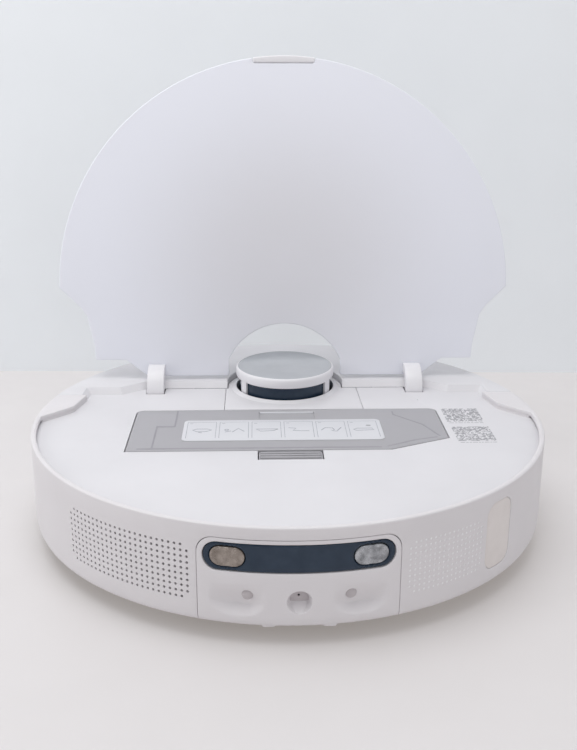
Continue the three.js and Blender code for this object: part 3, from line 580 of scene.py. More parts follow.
def lid_finish():
    """The lid's white: the inner face carries a painted shade, darker in its middle and bluer round it,
    standing for a dim reflection there; the outer face keeps its own plain white.
    """
    made = finish("lid_white", (226, 227, 234), 0.42, 2, 90, grain=0.4, grain_depth=0.005, specular=0.35)
    tree = made.node_tree
    coords = add_node(tree, "TexCoord", {}).outputs
    # Middle of the painted shade on the lid's inner face.
    shade_middle = (0.0, 0.1, 0.16)
    offset = add_node(tree, "VectorMath", {0: coords["Object"], 1: shade_middle}, operation="DISTANCE")
    reach = {"Value": offset.outputs["Value"], "From Min": 0.02, "From Max": 0.15, "To Max": 0.8}
    shade = add_node(tree, "MapRange", reach, interpolation_type="SMOOTHSTEP")
    axes = add_node(tree, "SeparateXYZ", {"Vector": coords["Normal"]})
    outside = add_node(tree, "Math", {0: axes.outputs["Y"], 1: 0.0}, operation="GREATER_THAN")
    both = {0: outside.outputs["Value"], 1: shade.outputs["Result"]}
    shade_or_outside = add_node(tree, "Math", both, operation="MAXIMUM")
    # Painted shade: darker and less blue in the middle of the inner face, lighter and bluer at its edge; the
    # outer face takes the last stop.
    stops = [(0.0, linear(224, 224, 229)), (0.8, linear(236, 238, 246)), (1.0, linear(222, 222, 225))]
    painted_shade_tint = ramp(tree, shade_or_outside.outputs["Value"], stops)
    fill(tree, tree.nodes["Principled BSDF"], {"Base Color": painted_shade_tint})


lid_finish()
finish("shell_white", (222, 219, 221), 0.38, 2, 60, grain=0.35, grain_depth=0.006, specular=0.4)
finish("trim_white", (232, 231, 234), 0.36, 2, 40, 0.04, 0.35, 0.005, specular=0.4)
# Painted light: the right grille's liner is whiter than the trim, so the shallow holes stay bright despite
# the shade of their rims.
finish("vent_white_painted_light", (243, 242, 244), 0.5, 1, 20)
finish("window_beige", (227, 221, 218), 0.4, 3, 12, grain=0.4, grain_depth=0.004)
finish("deck_white", (220, 219, 222), 0.5, 2, 50, grain=0.3, grain_depth=0.008, specular=0.35)
finish("soft_grey", (176, 179, 184), 0.5, 3, 20, grain=0.3, grain_depth=0.008)
finish("latch_grey", (164, 163, 167), 0.4, 3, 10)
finish("smoke_clear", (187, 186, 190), 0.4, 1, 60, 0.02, grain=1.5, grain_depth=0.001, alpha=0.8)
finish("rib_grey", (150, 148, 154), 0.4, 2, 30)
finish("label_white", (214, 215, 219), 0.55, 1, 20, grain=0.2, grain_depth=0.003)
finish("print_grey", (162, 162, 166), 0.6, 8, 4)
finish("print_pale", (158, 160, 168), 0.6, 6, 4)
finish("window_dark", (38, 53, 70), 0.22, 5, 9, 0.05, grain=0.8, grain_depth=0.001, specular=0.35)
finish("lens_grey", (188, 182, 184), 0.45, 3, 4, grain=0.3, grain_depth=0.003)
finish("contact_metal", (176, 168, 160), 0.34, 22, 7, 0.1, 0.25, 0.006, (1, 1, 6), metallic=0.85)
finish("contact_left", (148, 138, 130), 0.32, 26, 6, 0.1, 0.25, 0.004, (1, 1, 6), 0.6)
finish("contact_right", (158, 160, 164), 0.3, 36, 5, 0.12, 0.25, 0.004, (1, 1, 6), 0.6)
finish("pin_steel", (168, 172, 176), 0.3, 6, 3, 0.08, 0.2, 0.006, (8, 1, 1), metallic=1.0)
finish("black_plastic", (46, 47, 50), 0.55, 4, 20, 0.06, 0.35, 0.03)
finish("brush_rubber", (52, 53, 56), 0.7, 6, 12, 0.08, 0.4, 0.03, sheen=0.1)
finish("bristle_grey", (120, 122, 126), 0.6, 10, 2)
finish("tyre_rubber", (44, 44, 46), 0.82, 6, 8, 0.08, 0.5, 0.05, sheen=0.1)
finish("pad_fabric", (150, 152, 160), 0.95, 14, 3, 0.03, 0.6, 0.25, sheen=0.5)
finish("filter_paper", (222, 221, 214), 0.92, 6, 4, 0.03, 0.25, 0.04)
finish("cell_wrap", (62, 88, 124), 0.35, 5, 10, 0.06, 0.8, 0.02, coat=0.2)
finish("circuit_board", (34, 84, 58), 0.4, 8, 4, 0.08, 0.5, 0.02)


def dress_frame():
    """Gives every CAD node the finish of its slot."""
    for part in frame["record"]["subparts"]:
        node = frame["nodes"][part["node"]]
        node.data.materials.clear()
        node.data.materials.append(FINISHES[part["material_slot"]])


# ---- rear shell ----
PANEL_U = (u_of_x(PANEL_LOW.x), u_of_x(PANEL_HIGH.x))
DOCK_U = (PANEL_U[0] + PANEL_U[1]) / 2
PANEL_CORNER = 10.0
GRILLES = {
    "left": {"u": (-149.3, -61.9), "v": (25.6, 57.9), "columns": 25, "rows": 10, "hole_r": 0.88},
    "right": {"u": (64.4, 116.2), "v": (26.2, 56.9), "columns": 17, "rows": 10, "hole_r": 0.72},
}
WINDOW_LOW, WINDOW_HIGH = node_box("side_window")
SIDE_WINDOW_DEPTH = 0.2
SIDE_WINDOW_CORNER = 8.0


def panel_outline(grow):
    """The docking panel in the wall's u and v, from its lower right corner round to its lower left one."""
    half = (PANEL_U[1] - PANEL_U[0]) / 2 + grow
    top = PANEL_HIGH.z + grow
    r = PANEL_CORNER
    side = [(half, v) for v in wall_rows(BASE_V, top - r)[:-1]]
    return [(DOCK_U + u, v) for u, v in mirrored(side + arc(half - r, top - r, r, 0, 90, 8))]


def wall_rows(low, high):
    """Heights at which the wall needs vertices between low and high: close over the hem and the bevel."""
    rows = spaced(BASE_V, HEM_TOP, 5) + spaced(HEM_TOP, BEVEL_LOW, 7)[1:-1] + spaced(BEVEL_LOW, RIM_V, 4)
    between = [v for v in rows if low + 0.05 < v < high - 0.05]
    return [low, *between, high]


def side_window_loop(grow):
    """The oblong side window; the two ends of its arc come from its box."""
    face_r = BODY_R - SIDE_WINDOW_DEPTH
    start = BODY_R * math.acos(-WINDOW_LOW.y / face_r) - grow
    end = BODY_R * math.asin(WINDOW_HIGH.x / face_r) + grow
    return oblong(start, end, WINDOW_LOW.z - grow, WINDOW_HIGH.z + grow, SIDE_WINDOW_CORNER, 10)


def grille_dots(columns, rows, u, v, hole_r):
    """A grille's holes. The four corner holes are left out."""
    corners = {(i, j) for i in (0, columns - 1) for j in (0, rows - 1)}
    return [
        circle(x, y, hole_r, 10)
        for i, x in enumerate(spaced(*u, columns - 1))
        for j, y in enumerate(spaced(*v, rows - 1))
        if (i, j) not in corners
    ]


def at_y(a, b, y):
    """The point of the line through a and b at that y."""
    t = (y - a[1]) / (b[1] - a[1])
    return (a[0] + (b[0] - a[0]) * t, y)


def corner_line():
    """The edge of the right raised corner, from the rim to the seam."""
    end = at_y(RECESS_SIDE[2], RECESS_SIDE[3], SEAM_Y)
    return softened([*RECESS_SIDE[:3], end], 4.0, closed=False)


def row(u0, u1, v, steps):
    """Evenly spaced points of a level line, without its two ends."""
    return [(u, v) for u in spaced(u0, u1, steps)[1:-1]]


def shell_wall():
    """The wall with its hem, the rim and the top faces of the two raised corners, as one skin."""
    low_u = BODY_R * math.acos(-BUMPER_GAP_Y / BODY_R)
    high_u = BODY_R * math.acos(-SEAM_Y / BODY_R)
    step_v = BUMPER_HIGH.z + GAP
    right = [(low_u, v) for v in wall_rows(BASE_V, step_v)]
    right += [(high_u, v) for v in wall_rows(step_v, RIM_V)]
    end = at_y(RECESS_SIDE[2], RECESS_SIDE[3], SEAM_Y)
    seam = divided([(math.sqrt((BODY_R - BEVEL) ** 2 - SEAM_Y**2), SEAM_Y), end], 2.0, closed=False)
    edge = divided(corner_line()[::-1], 2.0, closed=False)
    right += [(rim_u(x, y), rim_v(min(math.hypot(x, y), INNER_R))) for x, y in seam[1:] + edge[1:]]
    last_u = right[-1][0]
    right += row(last_u, 0, rim_v(INNER_R), round(last_u / 3))
    notch = panel_outline(GAP)
    outline = [
        *row(notch[0][0], low_u, BASE_V, 40),
        *right,
        *flipped(right),
        *row(-low_u, notch[-1][0], BASE_V, 40),
        *reversed(notch),
    ]
    dots = [dot for grille in GRILLES.values() for dot in grille_dots(**grille)]
    points = [(u, v) for u in spaced(-high_u, high_u, 200) for v in wall_rows(BASE_V, rim_v(INNER_R))[1:-1]]
    points += grid(-high_u, high_u, RIM_V + 0.8, rim_v(150), 3.0, 3.0)
    return skin(outline, [side_window_loop(0.12)], dots, points)


def corner_walls():
    """The upright faces under the edges of the two raised corners."""
    thick = 1.6
    line = [(x, y) for x, y in divided(corner_line(), 3.0, closed=False)[1:] if math.hypot(x, y) < INNER_R]
    solids = []
    for side in (-1, 1):
        near = [(side * x, y) for x, y in line]
        far = [(side * (x + thick), y) for x, y in line]
        solids.append(slab([near + far[::-1]], [(0, DECK_Z + 0.02), (0, RIM_Z - SKIN_T)]))
    return solids


def grille_backing(grille, depth):
    """A thin sheet behind a grille's holes."""
    (u0, u1), (v0, v1) = grille["u"], grille["v"]
    margin = 3.0
    outline = oblong(u0 - margin, u1 + margin, v0 - margin, v1 + margin, 2)
    return skin(outline, points=grid(u0, u1, v0, v1, 3, 6), thickness=0.6, roll=0, sink=depth)


def build_rear_shell():
    piece("shell_wall", merged(shell_wall(), *corner_walls()), "shell_white", "chassis", "rear_shell")
    # Painted shade: a black sheet behind the left grille darkens its holes, standing for the shade inside
    # them.
    piece("left_grille_shade_sheet", grille_backing(GRILLES["left"], SKIN_T + 0.05), "black_plastic", "chassis")
    # The liner fills the right grille's holes just under the face, painted brighter to stand for light in
    # them.
    piece("vent_liner", grille_backing(GRILLES["right"], 0.14), "vent_white_painted_light", "chassis")
    loop = side_window_loop(0)
    window = skin(loop, points=area_grid(loop, 3, 6), sink=SIDE_WINDOW_DEPTH + 0.1)
    piece("side_window_insert", window, "window_beige", "chassis", "side_window")


# ---- docking panel ----
POCKET = {"u": 34.65, "half": 15.5, "low": 18.3, "high": 38.5, "rise": 5.5, "depth": 5.0, "ledge": 0.24}
LENS_Z = middle("dock_sensor_lens_left")[2]
LENS_R = half_size("dock_sensor_lens_left")[2]
LENS_US = {name: u_of_x(middle(f"dock_sensor_lens_{name}")[0]) for name in ("left", "right")}
DOME_R = 4.6
FOOT = {"x": 17.0, "half": 3.9, "y": (-172.4, -168.8), "corner": 1.6, "drop": 1.2}
INLET_Z = middle("water_inlet_valve")[2]
INLET_R = half_size("water_inlet_valve")[2] + GAP
INLET_DEPTH = 5.5
INLET_BORE = (DOCK_U - 0.4, INLET_Z + 2.2)


def pocket_depth(u, v):
    """How deep the two scooped sensor pockets are: a slanted ledge at the bottom, fading out upwards."""
    s = (abs(u - DOCK_U) - POCKET["u"]) / POCKET["half"]
    if abs(s) >= 1:
        return 0.0
    low = POCKET["low"] + POCKET["rise"] * abs(s) ** 3
    t = (v - low) / (POCKET["high"] - low)
    if not 0 < t < 1:
        return 0.0
    ledge = POCKET["ledge"]
    share = t / ledge if t < ledge else 0.5 + 0.5 * math.cos(math.pi * (t - ledge) / (1 - ledge))
    return POCKET["depth"] * share * (0.5 + 0.5 * math.cos(math.pi * s)) ** 0.45


def inlet_depth(u, v):
    """The inlet's face: a flat floor, and a ledge that climbs to the panel below it."""
    ledge_top = INLET_Z - 2.2
    wall = 0.4 + 3 * max(0.0, INLET_R - math.hypot(u - DOCK_U, v - INLET_Z))
    if v > ledge_top:
        return min(wall, INLET_DEPTH)
    t = (ledge_top - v) / (ledge_top - (INLET_Z - INLET_R))
    return min(wall, INLET_DEPTH + (0.5 - INLET_DEPTH) * min(1.0, t))


def oval_loop(node, grow):
    """An oblong with round ends on the wall, as large as a node's box and grown."""
    low, high = node_box(node)
    half_h = (high.z - low.z) / 2 + grow
    return oblong(u_of_x(low.x) - grow, u_of_x(high.x) + grow, low.z - grow, high.z + grow, half_h, 10)


def radial(u, v):
    """Sets an upright solid of revolution on the wall, pointing outwards."""
    turn = u / BODY_R
    out = Vector((math.sin(turn), -math.cos(turn), 0))
    across = Vector((math.cos(turn), math.sin(turn), 0))
    up = out.cross(across)
    matrix = Matrix((across, up, out)).transposed().to_4x4()
    matrix.translation = (0, 0, v)
    return matrix


def build_inlet():
    """The round inlet: its dish, the valve face above the ledge in a darker grey that is painted shade under
    the inlet's upper rim, and the small dark bore.
    """
    points = grid(DOCK_U - 7.5, DOCK_U + 7.5, INLET_Z - 7.5, INLET_Z + 7.5, 0.7, 0.7)
    dish = skin(
        circle(DOCK_U, INLET_Z, INLET_R + 0.8, 40), points=points, roll=0, sink=inlet_depth, thickness=1.2
    )
    piece("inlet_dish", dish, "shell_white", "chassis", "water_inlet_valve")
    # Painted shade: the valve face above the ledge takes the darker lens grey, standing for the shade under
    # the inlet's upper rim.
    face = skin(
        [(u, v) for u, v in circle(DOCK_U, INLET_Z, INLET_R - 0.5, 48) if v > INLET_Z - 2.0],
        dots=[circle(*INLET_BORE, 0.75, 16)],
        points=grid(DOCK_U - 7, DOCK_U + 7, INLET_Z - 2, INLET_Z + 7, 1.5, 1.5),
        roll=0.3,
        sink=INLET_DEPTH - 0.9,
        thickness=0.8,
    )
    piece("inlet_valve_face_painted_shade", face, "lens_grey", "chassis")
    bore_r = BODY_R - INLET_DEPTH - 0.02
    plug = lathe([(0, bore_r - 0.2), (1.1, bore_r - 0.2), (1.1, bore_r + 0.06), (0, bore_r + 0.06)], 16)
    piece("inlet_bore", turned(plug, radial(*INLET_BORE)), "black_plastic", "chassis")


def build_docking_panel():
    outline = panel_outline(0)
    bottom = row(outline[-1][0], outline[0][0], BASE_V, 30)
    lens_holes = [circle(u, LENS_Z, LENS_R + 0.08, 24) for u in LENS_US.values()]
    coarse = [(u, v) for u in range(-55, 56, 3) for v in wall_rows(9, 64)]
    panel = skin(
        outline + bottom,
        [oval_loop("dock_window", GAP), circle(DOCK_U, INLET_Z, INLET_R, 40), *lens_holes],
        points=grid(-51, 53, 18.0, 40.0, 0.75, 0.75) + coarse,
        roll=0.3,
        sink=pocket_depth,
        back=3.4,
    )
    feet = []
    for side in (-1, 1):
        x = DOCK_U + side * FOOT["x"]
        profile = round_both(SKIRT_Z - FOOT["drop"], SKIRT_Z + 1, 0.7)
        feet.append(plate(x - FOOT["half"], x + FOOT["half"], *FOOT["y"], FOOT["corner"], profile))
    piece("docking_face", merged(panel, *feet), "shell_white", "chassis", "docking_panel")

    strip = oval_loop("dock_window", 0)
    holes = [oval_loop(f"charge_contact_{name}", GAP) for name in LENS_US]
    window = skin(strip, holes, points=area_grid(strip, 2.5, 2.5), roll=1.2, sink=0.3, thickness=2.2)
    piece("dock_window_strip", window, "window_dark", "chassis", "dock_window")

    for name, lens_u in LENS_US.items():
        node = f"charge_contact_{name}"
        face = oval_loop(node, 0)
        contact = skin(face, points=area_grid(face, 1.5, 1.5), roll=0.7, sink=0.15, thickness=1.6)
        piece(f"contact_plate_{name}", contact, f"contact_{name}", "chassis", node)
        front = BODY_R - pocket_depth(lens_u, LENS_Z)
        dome = arc(0, front - 3.2, DOME_R, acos_deg(LENS_R / DOME_R), 90, 8)
        lens = lathe([(0, front - 4), (LENS_R, front - 4), *dome[:-1], (0, front + 1.4)], 32)
        lens = turned(lens, radial(lens_u, LENS_Z))
        piece(f"sensor_lens_{name}", lens, "lens_grey", "chassis", f"dock_sensor_lens_{name}")
    build_inlet()


# ---- deck and the plates on it ----
DUST_CORNER_R = 5.0
DUST_TIP_Y = -36.0
DUST_BREAK_X = 66.0
SLOT_X = (ARM_LOW.x - 0.7, ARM_HIGH.x + 0.7)
SLOT_Y = ARM_LOW.y - 1.3
FAR_Y = 69.6
PINHOLE = (97.8, 40.1)


def dust_outline(grow):
    """The dust box cover's outline from above, counter-clockwise from its near left corner."""
    r = DUST_CORNER_R + grow
    side = DUST_HIGH.x + grow
    far = DUST_HIGH.y + grow
    near = DUST_LOW.y - grow
    return [
        (-side, near),
        (DUST_BREAK_X + grow / 2, near),
        (side, DUST_TIP_Y - grow / 2),
        *arc(side - r, far - r, r, 0, 90, 6),
        *arc(-side + r, far - r, r, 90, 180, 6),
    ]


def deck_outline():
    """The deck from its far right corner; the bay of the dust box opens into that of the turret panel."""
    side_r = INNER_R + 0.7
    far_r = 169.5
    far_x = math.sqrt(far_r**2 - FAR_Y**2)
    step_y = 41.0
    near_left, near_right, tip, *corners = dust_outline(0.75)
    half = len(corners) // 2
    bay_near = near_left[1]
    bay_far = corners[half][1]
    latch = LATCH_HIGH.x + 0.6
    latch_near = LATCH_LOW.y - 0.6
    left = SURROUND_LOW.x - GAP
    right = SURROUND_HIGH.x + GAP
    slot = [(SLOT_X[1], FAR_Y), (SLOT_X[1], SLOT_Y), (SLOT_X[0], SLOT_Y), (SLOT_X[0], FAR_Y)]
    turn_far = asin_deg(FAR_Y / far_r)
    turn_step_far = asin_deg(step_y / far_r)
    turn_step = asin_deg(step_y / side_r)
    return [
        (far_x, FAR_Y),
        *slot,
        (right - 0.8, FAR_Y),
        (right, bay_far),
        *reversed(corners[:half]),
        tip,
        near_right,
        (latch, bay_near),
        (latch, latch_near),
        (-latch, latch_near),
        (-latch, bay_near),
        near_left,
        *reversed(corners[half:]),
        (left, bay_far),
        (left, FAR_Y),
        *flipped(slot),
        (-far_x, FAR_Y),
        *arc(0, 0, far_r, 180 - turn_far, 180 - turn_step_far, 8),
        *arc(0, 0, side_r, 180 - turn_step, 360 + turn_step, 160),
        *arc(0, 0, far_r, turn_step_far, turn_far, 8)[:-1],
    ]


CODE_SIZE = 26.0
CODE_CELLS = 27
CODE_CORNERS = ((111.5, -6.0), (112.2, -42.2))


def printed_square(corner, seed):
    """A meaningless mosaic of dark cells, each run of neighbours one thin tile, and a dashed line below."""
    rows = random.Random(seed)
    cell = CODE_SIZE / CODE_CELLS
    top = DECK_Z + 0.04
    tiles = []
    for j in range(CODE_CELLS):
        run = 0
        for i in range(CODE_CELLS + 1):
            filled = i < CODE_CELLS and rows.random() < 0.6
            if filled:
                run += 1
            elif run:
                x1 = corner[0] + i * cell
                y0 = corner[1] + j * cell
                tiles.append((x1 - run * cell, x1 - 0.08, y0, y0 + cell - 0.08))
                run = 0
    x = corner[0] + 1.0
    while x < corner[0] + CODE_SIZE - 3:
        width = 1.2 + 2.2 * rows.random()
        tiles.append((x, x + width, corner[1] - 3.0, corner[1] - 2.3))
        x += width + 0.7
    bm = bmesh.new()
    for x0, x1, y0, y1 in tiles:
        tile = bmesh.ops.create_cube(bm, size=1)["verts"]
        bmesh.ops.scale(bm, vec=(x1 - x0, y1 - y0, 0.06), verts=tile)
        bmesh.ops.translate(bm, vec=((x0 + x1) / 2, (y0 + y1) / 2, top - 0.03), verts=tile)
    return bm


def build_deck():
    deck = slab([deck_outline(), circle(*PINHOLE, 0.6, 12)], round_top(DECK_UNDER, DECK_Z, 0.3, 3))
    piece("deck_panel", deck, "deck_white", "chassis", "deck_plate")
    squares = [printed_square(corner, seed) for seed, corner in enumerate(CODE_CORNERS, 3)]
    piece("deck_print", merged(*squares), "print_grey", "chassis")
    low = DECK_UNDER - 1.5
    high = DECK_UNDER + 0.3
    bore = lathe([(0, low), (1.2, low), (1.2, high), (0, high)], 16, PINHOLE)
    piece("deck_pinhole", bore, "black_plastic", "chassis")


# ---- front cover ----
BUTTON_X = 13.0
BUTTON_Y = 136.0
BUTTON_R = 7.0
SURROUND_R = 43.6
COVER_UNDER = RIM_Z - 2.4
SLOPE_RUN = 3.6


def cover_edges(ring_r):
    """The foot and the top of the slope along the front cover's near edge, from the right seam inwards."""
    foot = [at_y(RECESS_SIDE[2], RECESS_SIDE[3], COVER_NEAR_Y), RECESS_SIDE[4], *RECESS_STEP]
    shifts = [(1, 0), (1, 1), (0.4, 1), (0.3, 1)]
    top = [(x + SLOPE_RUN * i, y + SLOPE_RUN * j) for (x, y), (i, j) in zip(foot, shifts)]
    foot = softened(foot, 1.5, closed=False) + [(ring_r + 0.1, RECESS_STEP[1][1])]
    top = softened(top, 1.5, closed=False)
    return foot, top + [(ring_r + 0.1, RECESS_STEP[1][1] + SLOPE_RUN)]


def slope(foot, top, z0, z1, thick):
    """A slanted strip between the two lines, with a back as far behind it as thick."""
    bm = bmesh.new()
    rings = []
    for (x0, y0), (x1, y1) in zip(foot, top):
        back = Vector((x1 - x0, y1 - y0)).normalized() * thick
        behind = ((x0 + back.x, y0 + back.y, z0), (x1 + back.x, y1 + back.y, z1 - 0.3))
        rings.append([bm.verts.new(corner) for corner in ((x0, y0, z0), *behind, (x1, y1, z1))])
    bridge(bm, rings, capped=True)
    return bm


def build_front_cover():
    """The cover's plate, the slopes and ring wall under its near edge, the hinge lugs and the two keys."""
    seam_x = math.sqrt(BODY_R**2 - COVER_NEAR_Y**2)
    start = math.degrees(math.atan2(COVER_NEAR_Y, seam_x))
    ring_r = SURROUND_R + 2 * GAP
    foot, top_edge = cover_edges(ring_r)
    meet = asin_deg((top_edge[-1][1] - TURRET_Y) / ring_r)
    outline = [
        *arc(0, 0, BODY_R, start, 180 - start, 150),
        *[(-x, y) for x, y in top_edge[:-1]],
        *reversed(arc(0, TURRET_Y, ring_r, meet, 180 - meet, 40)),
        *reversed(top_edge[:-1]),
    ]
    buttons = [circle(side * BUTTON_X, BUTTON_Y, BUTTON_R + GAP, 40) for side in (-1, 1)]
    solids = [slab([outline, *buttons], round_top(COVER_UNDER, RIM_Z, 1.0, 4))]
    for side in (-1, 1):
        lines = [[(side * x, y) for x, y in line] for line in (foot, top_edge)]
        solids.append(slope(*lines, DECK_Z + 0.02, RIM_Z - 0.02, 1.2))
    ring = arc(0, TURRET_Y, ring_r, meet, 180 - meet, 48)
    ring += reversed(arc(0, TURRET_Y, ring_r + 1.6, meet, 180 - meet, 48))
    solids.append(slab([ring], [(0, DECK_Z - 2.6), (0, COVER_UNDER + 0.4)]))
    lug = oblong(HINGE_Y - 4.5, HINGE_Y + 4.5, HINGE_Z - 5, COVER_UNDER + 0.3, 1.5, 4)
    for side in (-1, 1):
        for x in (side * (HINGE_X - 10), side * (HINGE_X + 10)):
            solid = slab([lug, circle(HINGE_Y, HINGE_Z, 1.6, 20)], [(0, x - 1.5), (0, x + 1.5)])
            solids.append(turned(solid, ALONG_X))
    piece("top_cover", merged(*solids), "deck_white", "chassis", "front_cover")
    for name, side in (("power", -1), ("dock", 1)):
        low, high = heights(f"{name}_button")
        flange = BUTTON_R + 1.4
        body = lathe(
            [(0, low), (flange, low), (flange, low + 1.4), (BUTTON_R, low + 1.6), (BUTTON_R, high - 0.5),
             (BUTTON_R - 0.5, high), (BUTTON_R - 1.6, high - 0.1), (0, high - 0.5)],
            56,
            (side * BUTTON_X, BUTTON_Y),
        )
        piece(f"{name}_key_cap", body, "shell_white", f"{name}_key", f"{name}_button")


# ---- turret ----
CAP_R, WINDOW_R, ROTOR_R = (half_size(node)[0] for node in ("lidar_cap", "lidar_window", "lidar_rotor"))
CAP_UNDER = heights("lidar_window")[1] - 0.5
CAP_CEILING = CAP_UNDER + 0.8
CAP_RIM = 1.3
POST_DEG = 5.5
TURRET_HOLE_R = 37.2


def build_turret():
    """The panel round the turret with its lip, and the sprung cap with its posts, disc and window."""
    centre = (0, TURRET_Y)
    meet = asin_deg((FAR_Y - TURRET_Y) / SURROUND_R)
    outline = [
        (SURROUND_LOW.x, SURROUND_LOW.y),
        (SURROUND_HIGH.x, SURROUND_LOW.y),
        (SURROUND_HIGH.x - 0.8, FAR_Y),
        *arc(0, TURRET_Y, SURROUND_R, meet, 180 - meet, 64),
        (SURROUND_LOW.x, FAR_Y),
    ]
    r = TURRET_HOLE_R
    under = SURROUND_LOW.z
    top = SURROUND_HIGH.z
    panel = slab([outline, circle(0, TURRET_Y, r + 3.4, 96)], round_top(under, DECK_Z, 0.3, 3))
    lip = lathe(
        [(r + 4.2, under), (r + 4.2, DECK_Z - 0.1), (r + 2.8, DECK_Z + 0.4), (r + 1.2, top - 0.2),
         (r + 0.5, top), (r + 0.1, top - 0.15), (r - 0.1, top - 0.7), (r - 0.1, under)],
        96,
        centre,
    )
    piece("turret_panel", merged(panel, lip), "deck_white", "chassis", "turret_surround")

    r = CAP_R
    top = CAP_HIGH.z
    inner = r - CAP_RIM
    cap = lathe(
        [(0, CAP_CEILING), (ROTOR_R + 1.2, CAP_CEILING), (ROTOR_R + 1.6, CAP_UNDER), (r - 1.4, CAP_UNDER),
         (r - 0.5, CAP_UNDER + 0.3), (r, CAP_UNDER + 1.4), (r, top - 1.9), (r - 0.3, top - 0.8),
         (r - 0.9, top - 0.15), (inner, top), (inner - 0.15, top - 0.3), (inner - 0.15, top - 0.9),
         (0, top - 0.9)],
        128,
        centre,
    )
    posts = []
    for deg in (-150, -30, 90):
        loop = arc(*centre, WINDOW_R + 0.2, deg - POST_DEG, deg + POST_DEG, 8)
        loop += reversed(arc(*centre, WINDOW_R + 1.8, deg - POST_DEG, deg + POST_DEG, 8))
        posts.append(slab([loop], [(0.3, CAP_LOW.z), (0, CAP_LOW.z + 0.5), (0, CAP_UNDER + 0.6)]))
    piece("turret_cap", merged(cap, *posts), "trim_white", "lidar_top", "lidar_cap")
    r = inner - 0.3
    top -= 0.12
    disc = lathe([(0, top - 0.6), (r, top - 0.6), (r, top - 0.15), (r - 0.2, top), (0, top)], 128, centre)
    piece("turret_disc", disc, "soft_grey", "lidar_top", "lidar_cap_disc")
    low, high = heights("lidar_window")
    inner = WINDOW_R - 1.2
    glass = lathe([(inner, low), (WINDOW_R, low), (WINDOW_R, high), (inner, high)], 128, centre)
    piece("turret_window", glass, "window_dark", "lidar_top", "lidar_window")


# ---- lid, drawn shut and turned open ----
LID_R = 171.0
LID_T = 3.6
LID_OPEN_DEG = 98.0
LID_START_DEG = math.degrees(math.atan2(-1.0, 170.9))
LID_EDGE = [(155.4, 14.0), (151.0, 20.5), (146.0, 44.0), (145.4, 54.6), (122.2, 54.6), (105.2, 67.4)]
ARCH_R = 47.0
ARCH_HALF = 43.0
ARCH_Y = 74.0
TAB_HALF = 22.8
TAB_BACK = 5.0 - LID_R
ARM_OUT_R = ARM_HIGH.z - HINGE_Z
ARM_IN_R = 10.5
ARM_EYE_R = 2.85
SWING = Matrix.Translation((0, HINGE_Y, HINGE_Z)) @ Matrix.Rotation(math.radians(-LID_OPEN_DEG), 4, "X")
OPENED = SWING @ Matrix.Translation((0, -HINGE_Y, -HINGE_Z))


def build_lid():
    """The lid's panel with its arch for the turret, the pull tab and the two curved arms."""
    under = RIM_Z - LID_T
    arch_deg = acos_deg(ARCH_HALF / ARCH_R)
    tab_deg = asin_deg((TAB_HALF + GAP) / (LID_R - 0.02))
    far_y = LID_EDGE[-1][1]
    outline = [
        *LID_EDGE,
        (ARCH_HALF, far_y),
        *reversed(arc(0, ARCH_Y, ARCH_R, 180 + arch_deg, 360 - arch_deg, 40)),
        (-ARCH_HALF, far_y),
        *flipped(LID_EDGE),
        *arc(0, 0, LID_R, 180 - LID_START_DEG, 270 - tab_deg, 52),
        (-TAB_HALF - GAP, TAB_BACK + GAP),
        (TAB_HALF + GAP, TAB_BACK + GAP),
        *arc(0, 0, LID_R, 270 + tab_deg, 360 + LID_START_DEG, 52),
    ]
    panel = slab([softened(outline, 1.9)], round_both(under, RIM_Z, 0.8, 4))
    piece("lid_shell", turned(panel, OPENED), "lid_white", "lid", "lid_panel")
    tab_r = LID_R + 0.3
    tab_deg = asin_deg(TAB_HALF / tab_r)
    loop = [(TAB_HALF, TAB_BACK), (-TAB_HALF, TAB_BACK), *arc(0, 0, tab_r, 270 - tab_deg, 270 + tab_deg, 16)]
    tab = slab([softened(loop, 1.5)], round_both(under - GAP, RIM_Z, 1.0, 4))
    piece("lid_tab", turned(tab, OPENED), "trim_white", "lid", "lid_pull_tab")

    boss_top = under - GAP - HINGE_Z
    web_deg = 303
    end_deg = 322
    profile = [
        (-ARM_OUT_R, boss_top),
        *arc(0, 0, ARM_OUT_R, 182, web_deg, 26),
        *arc(0, 0, ARM_OUT_R, web_deg + 4, end_deg, 2),
        *arc(0, 0, ARM_EYE_R, end_deg, web_deg + 360, 24),
        *reversed(arc(0, 0, ARM_IN_R, 182, web_deg, 26)),
        (-ARM_IN_R, boss_top),
    ]
    for name in ("left", "right"):
        low, high = node_box(f"hinge_arm_{name}")
        arm = slab([softened(profile, 1.2), circle(0, 0, 1.6, 20)], round_both(low.x, high.x, 0.35, 3))
        piece(f"hinge_bracket_{name}", turned(arm, SWING @ ALONG_X), "trim_white", "lid", f"hinge_arm_{name}")


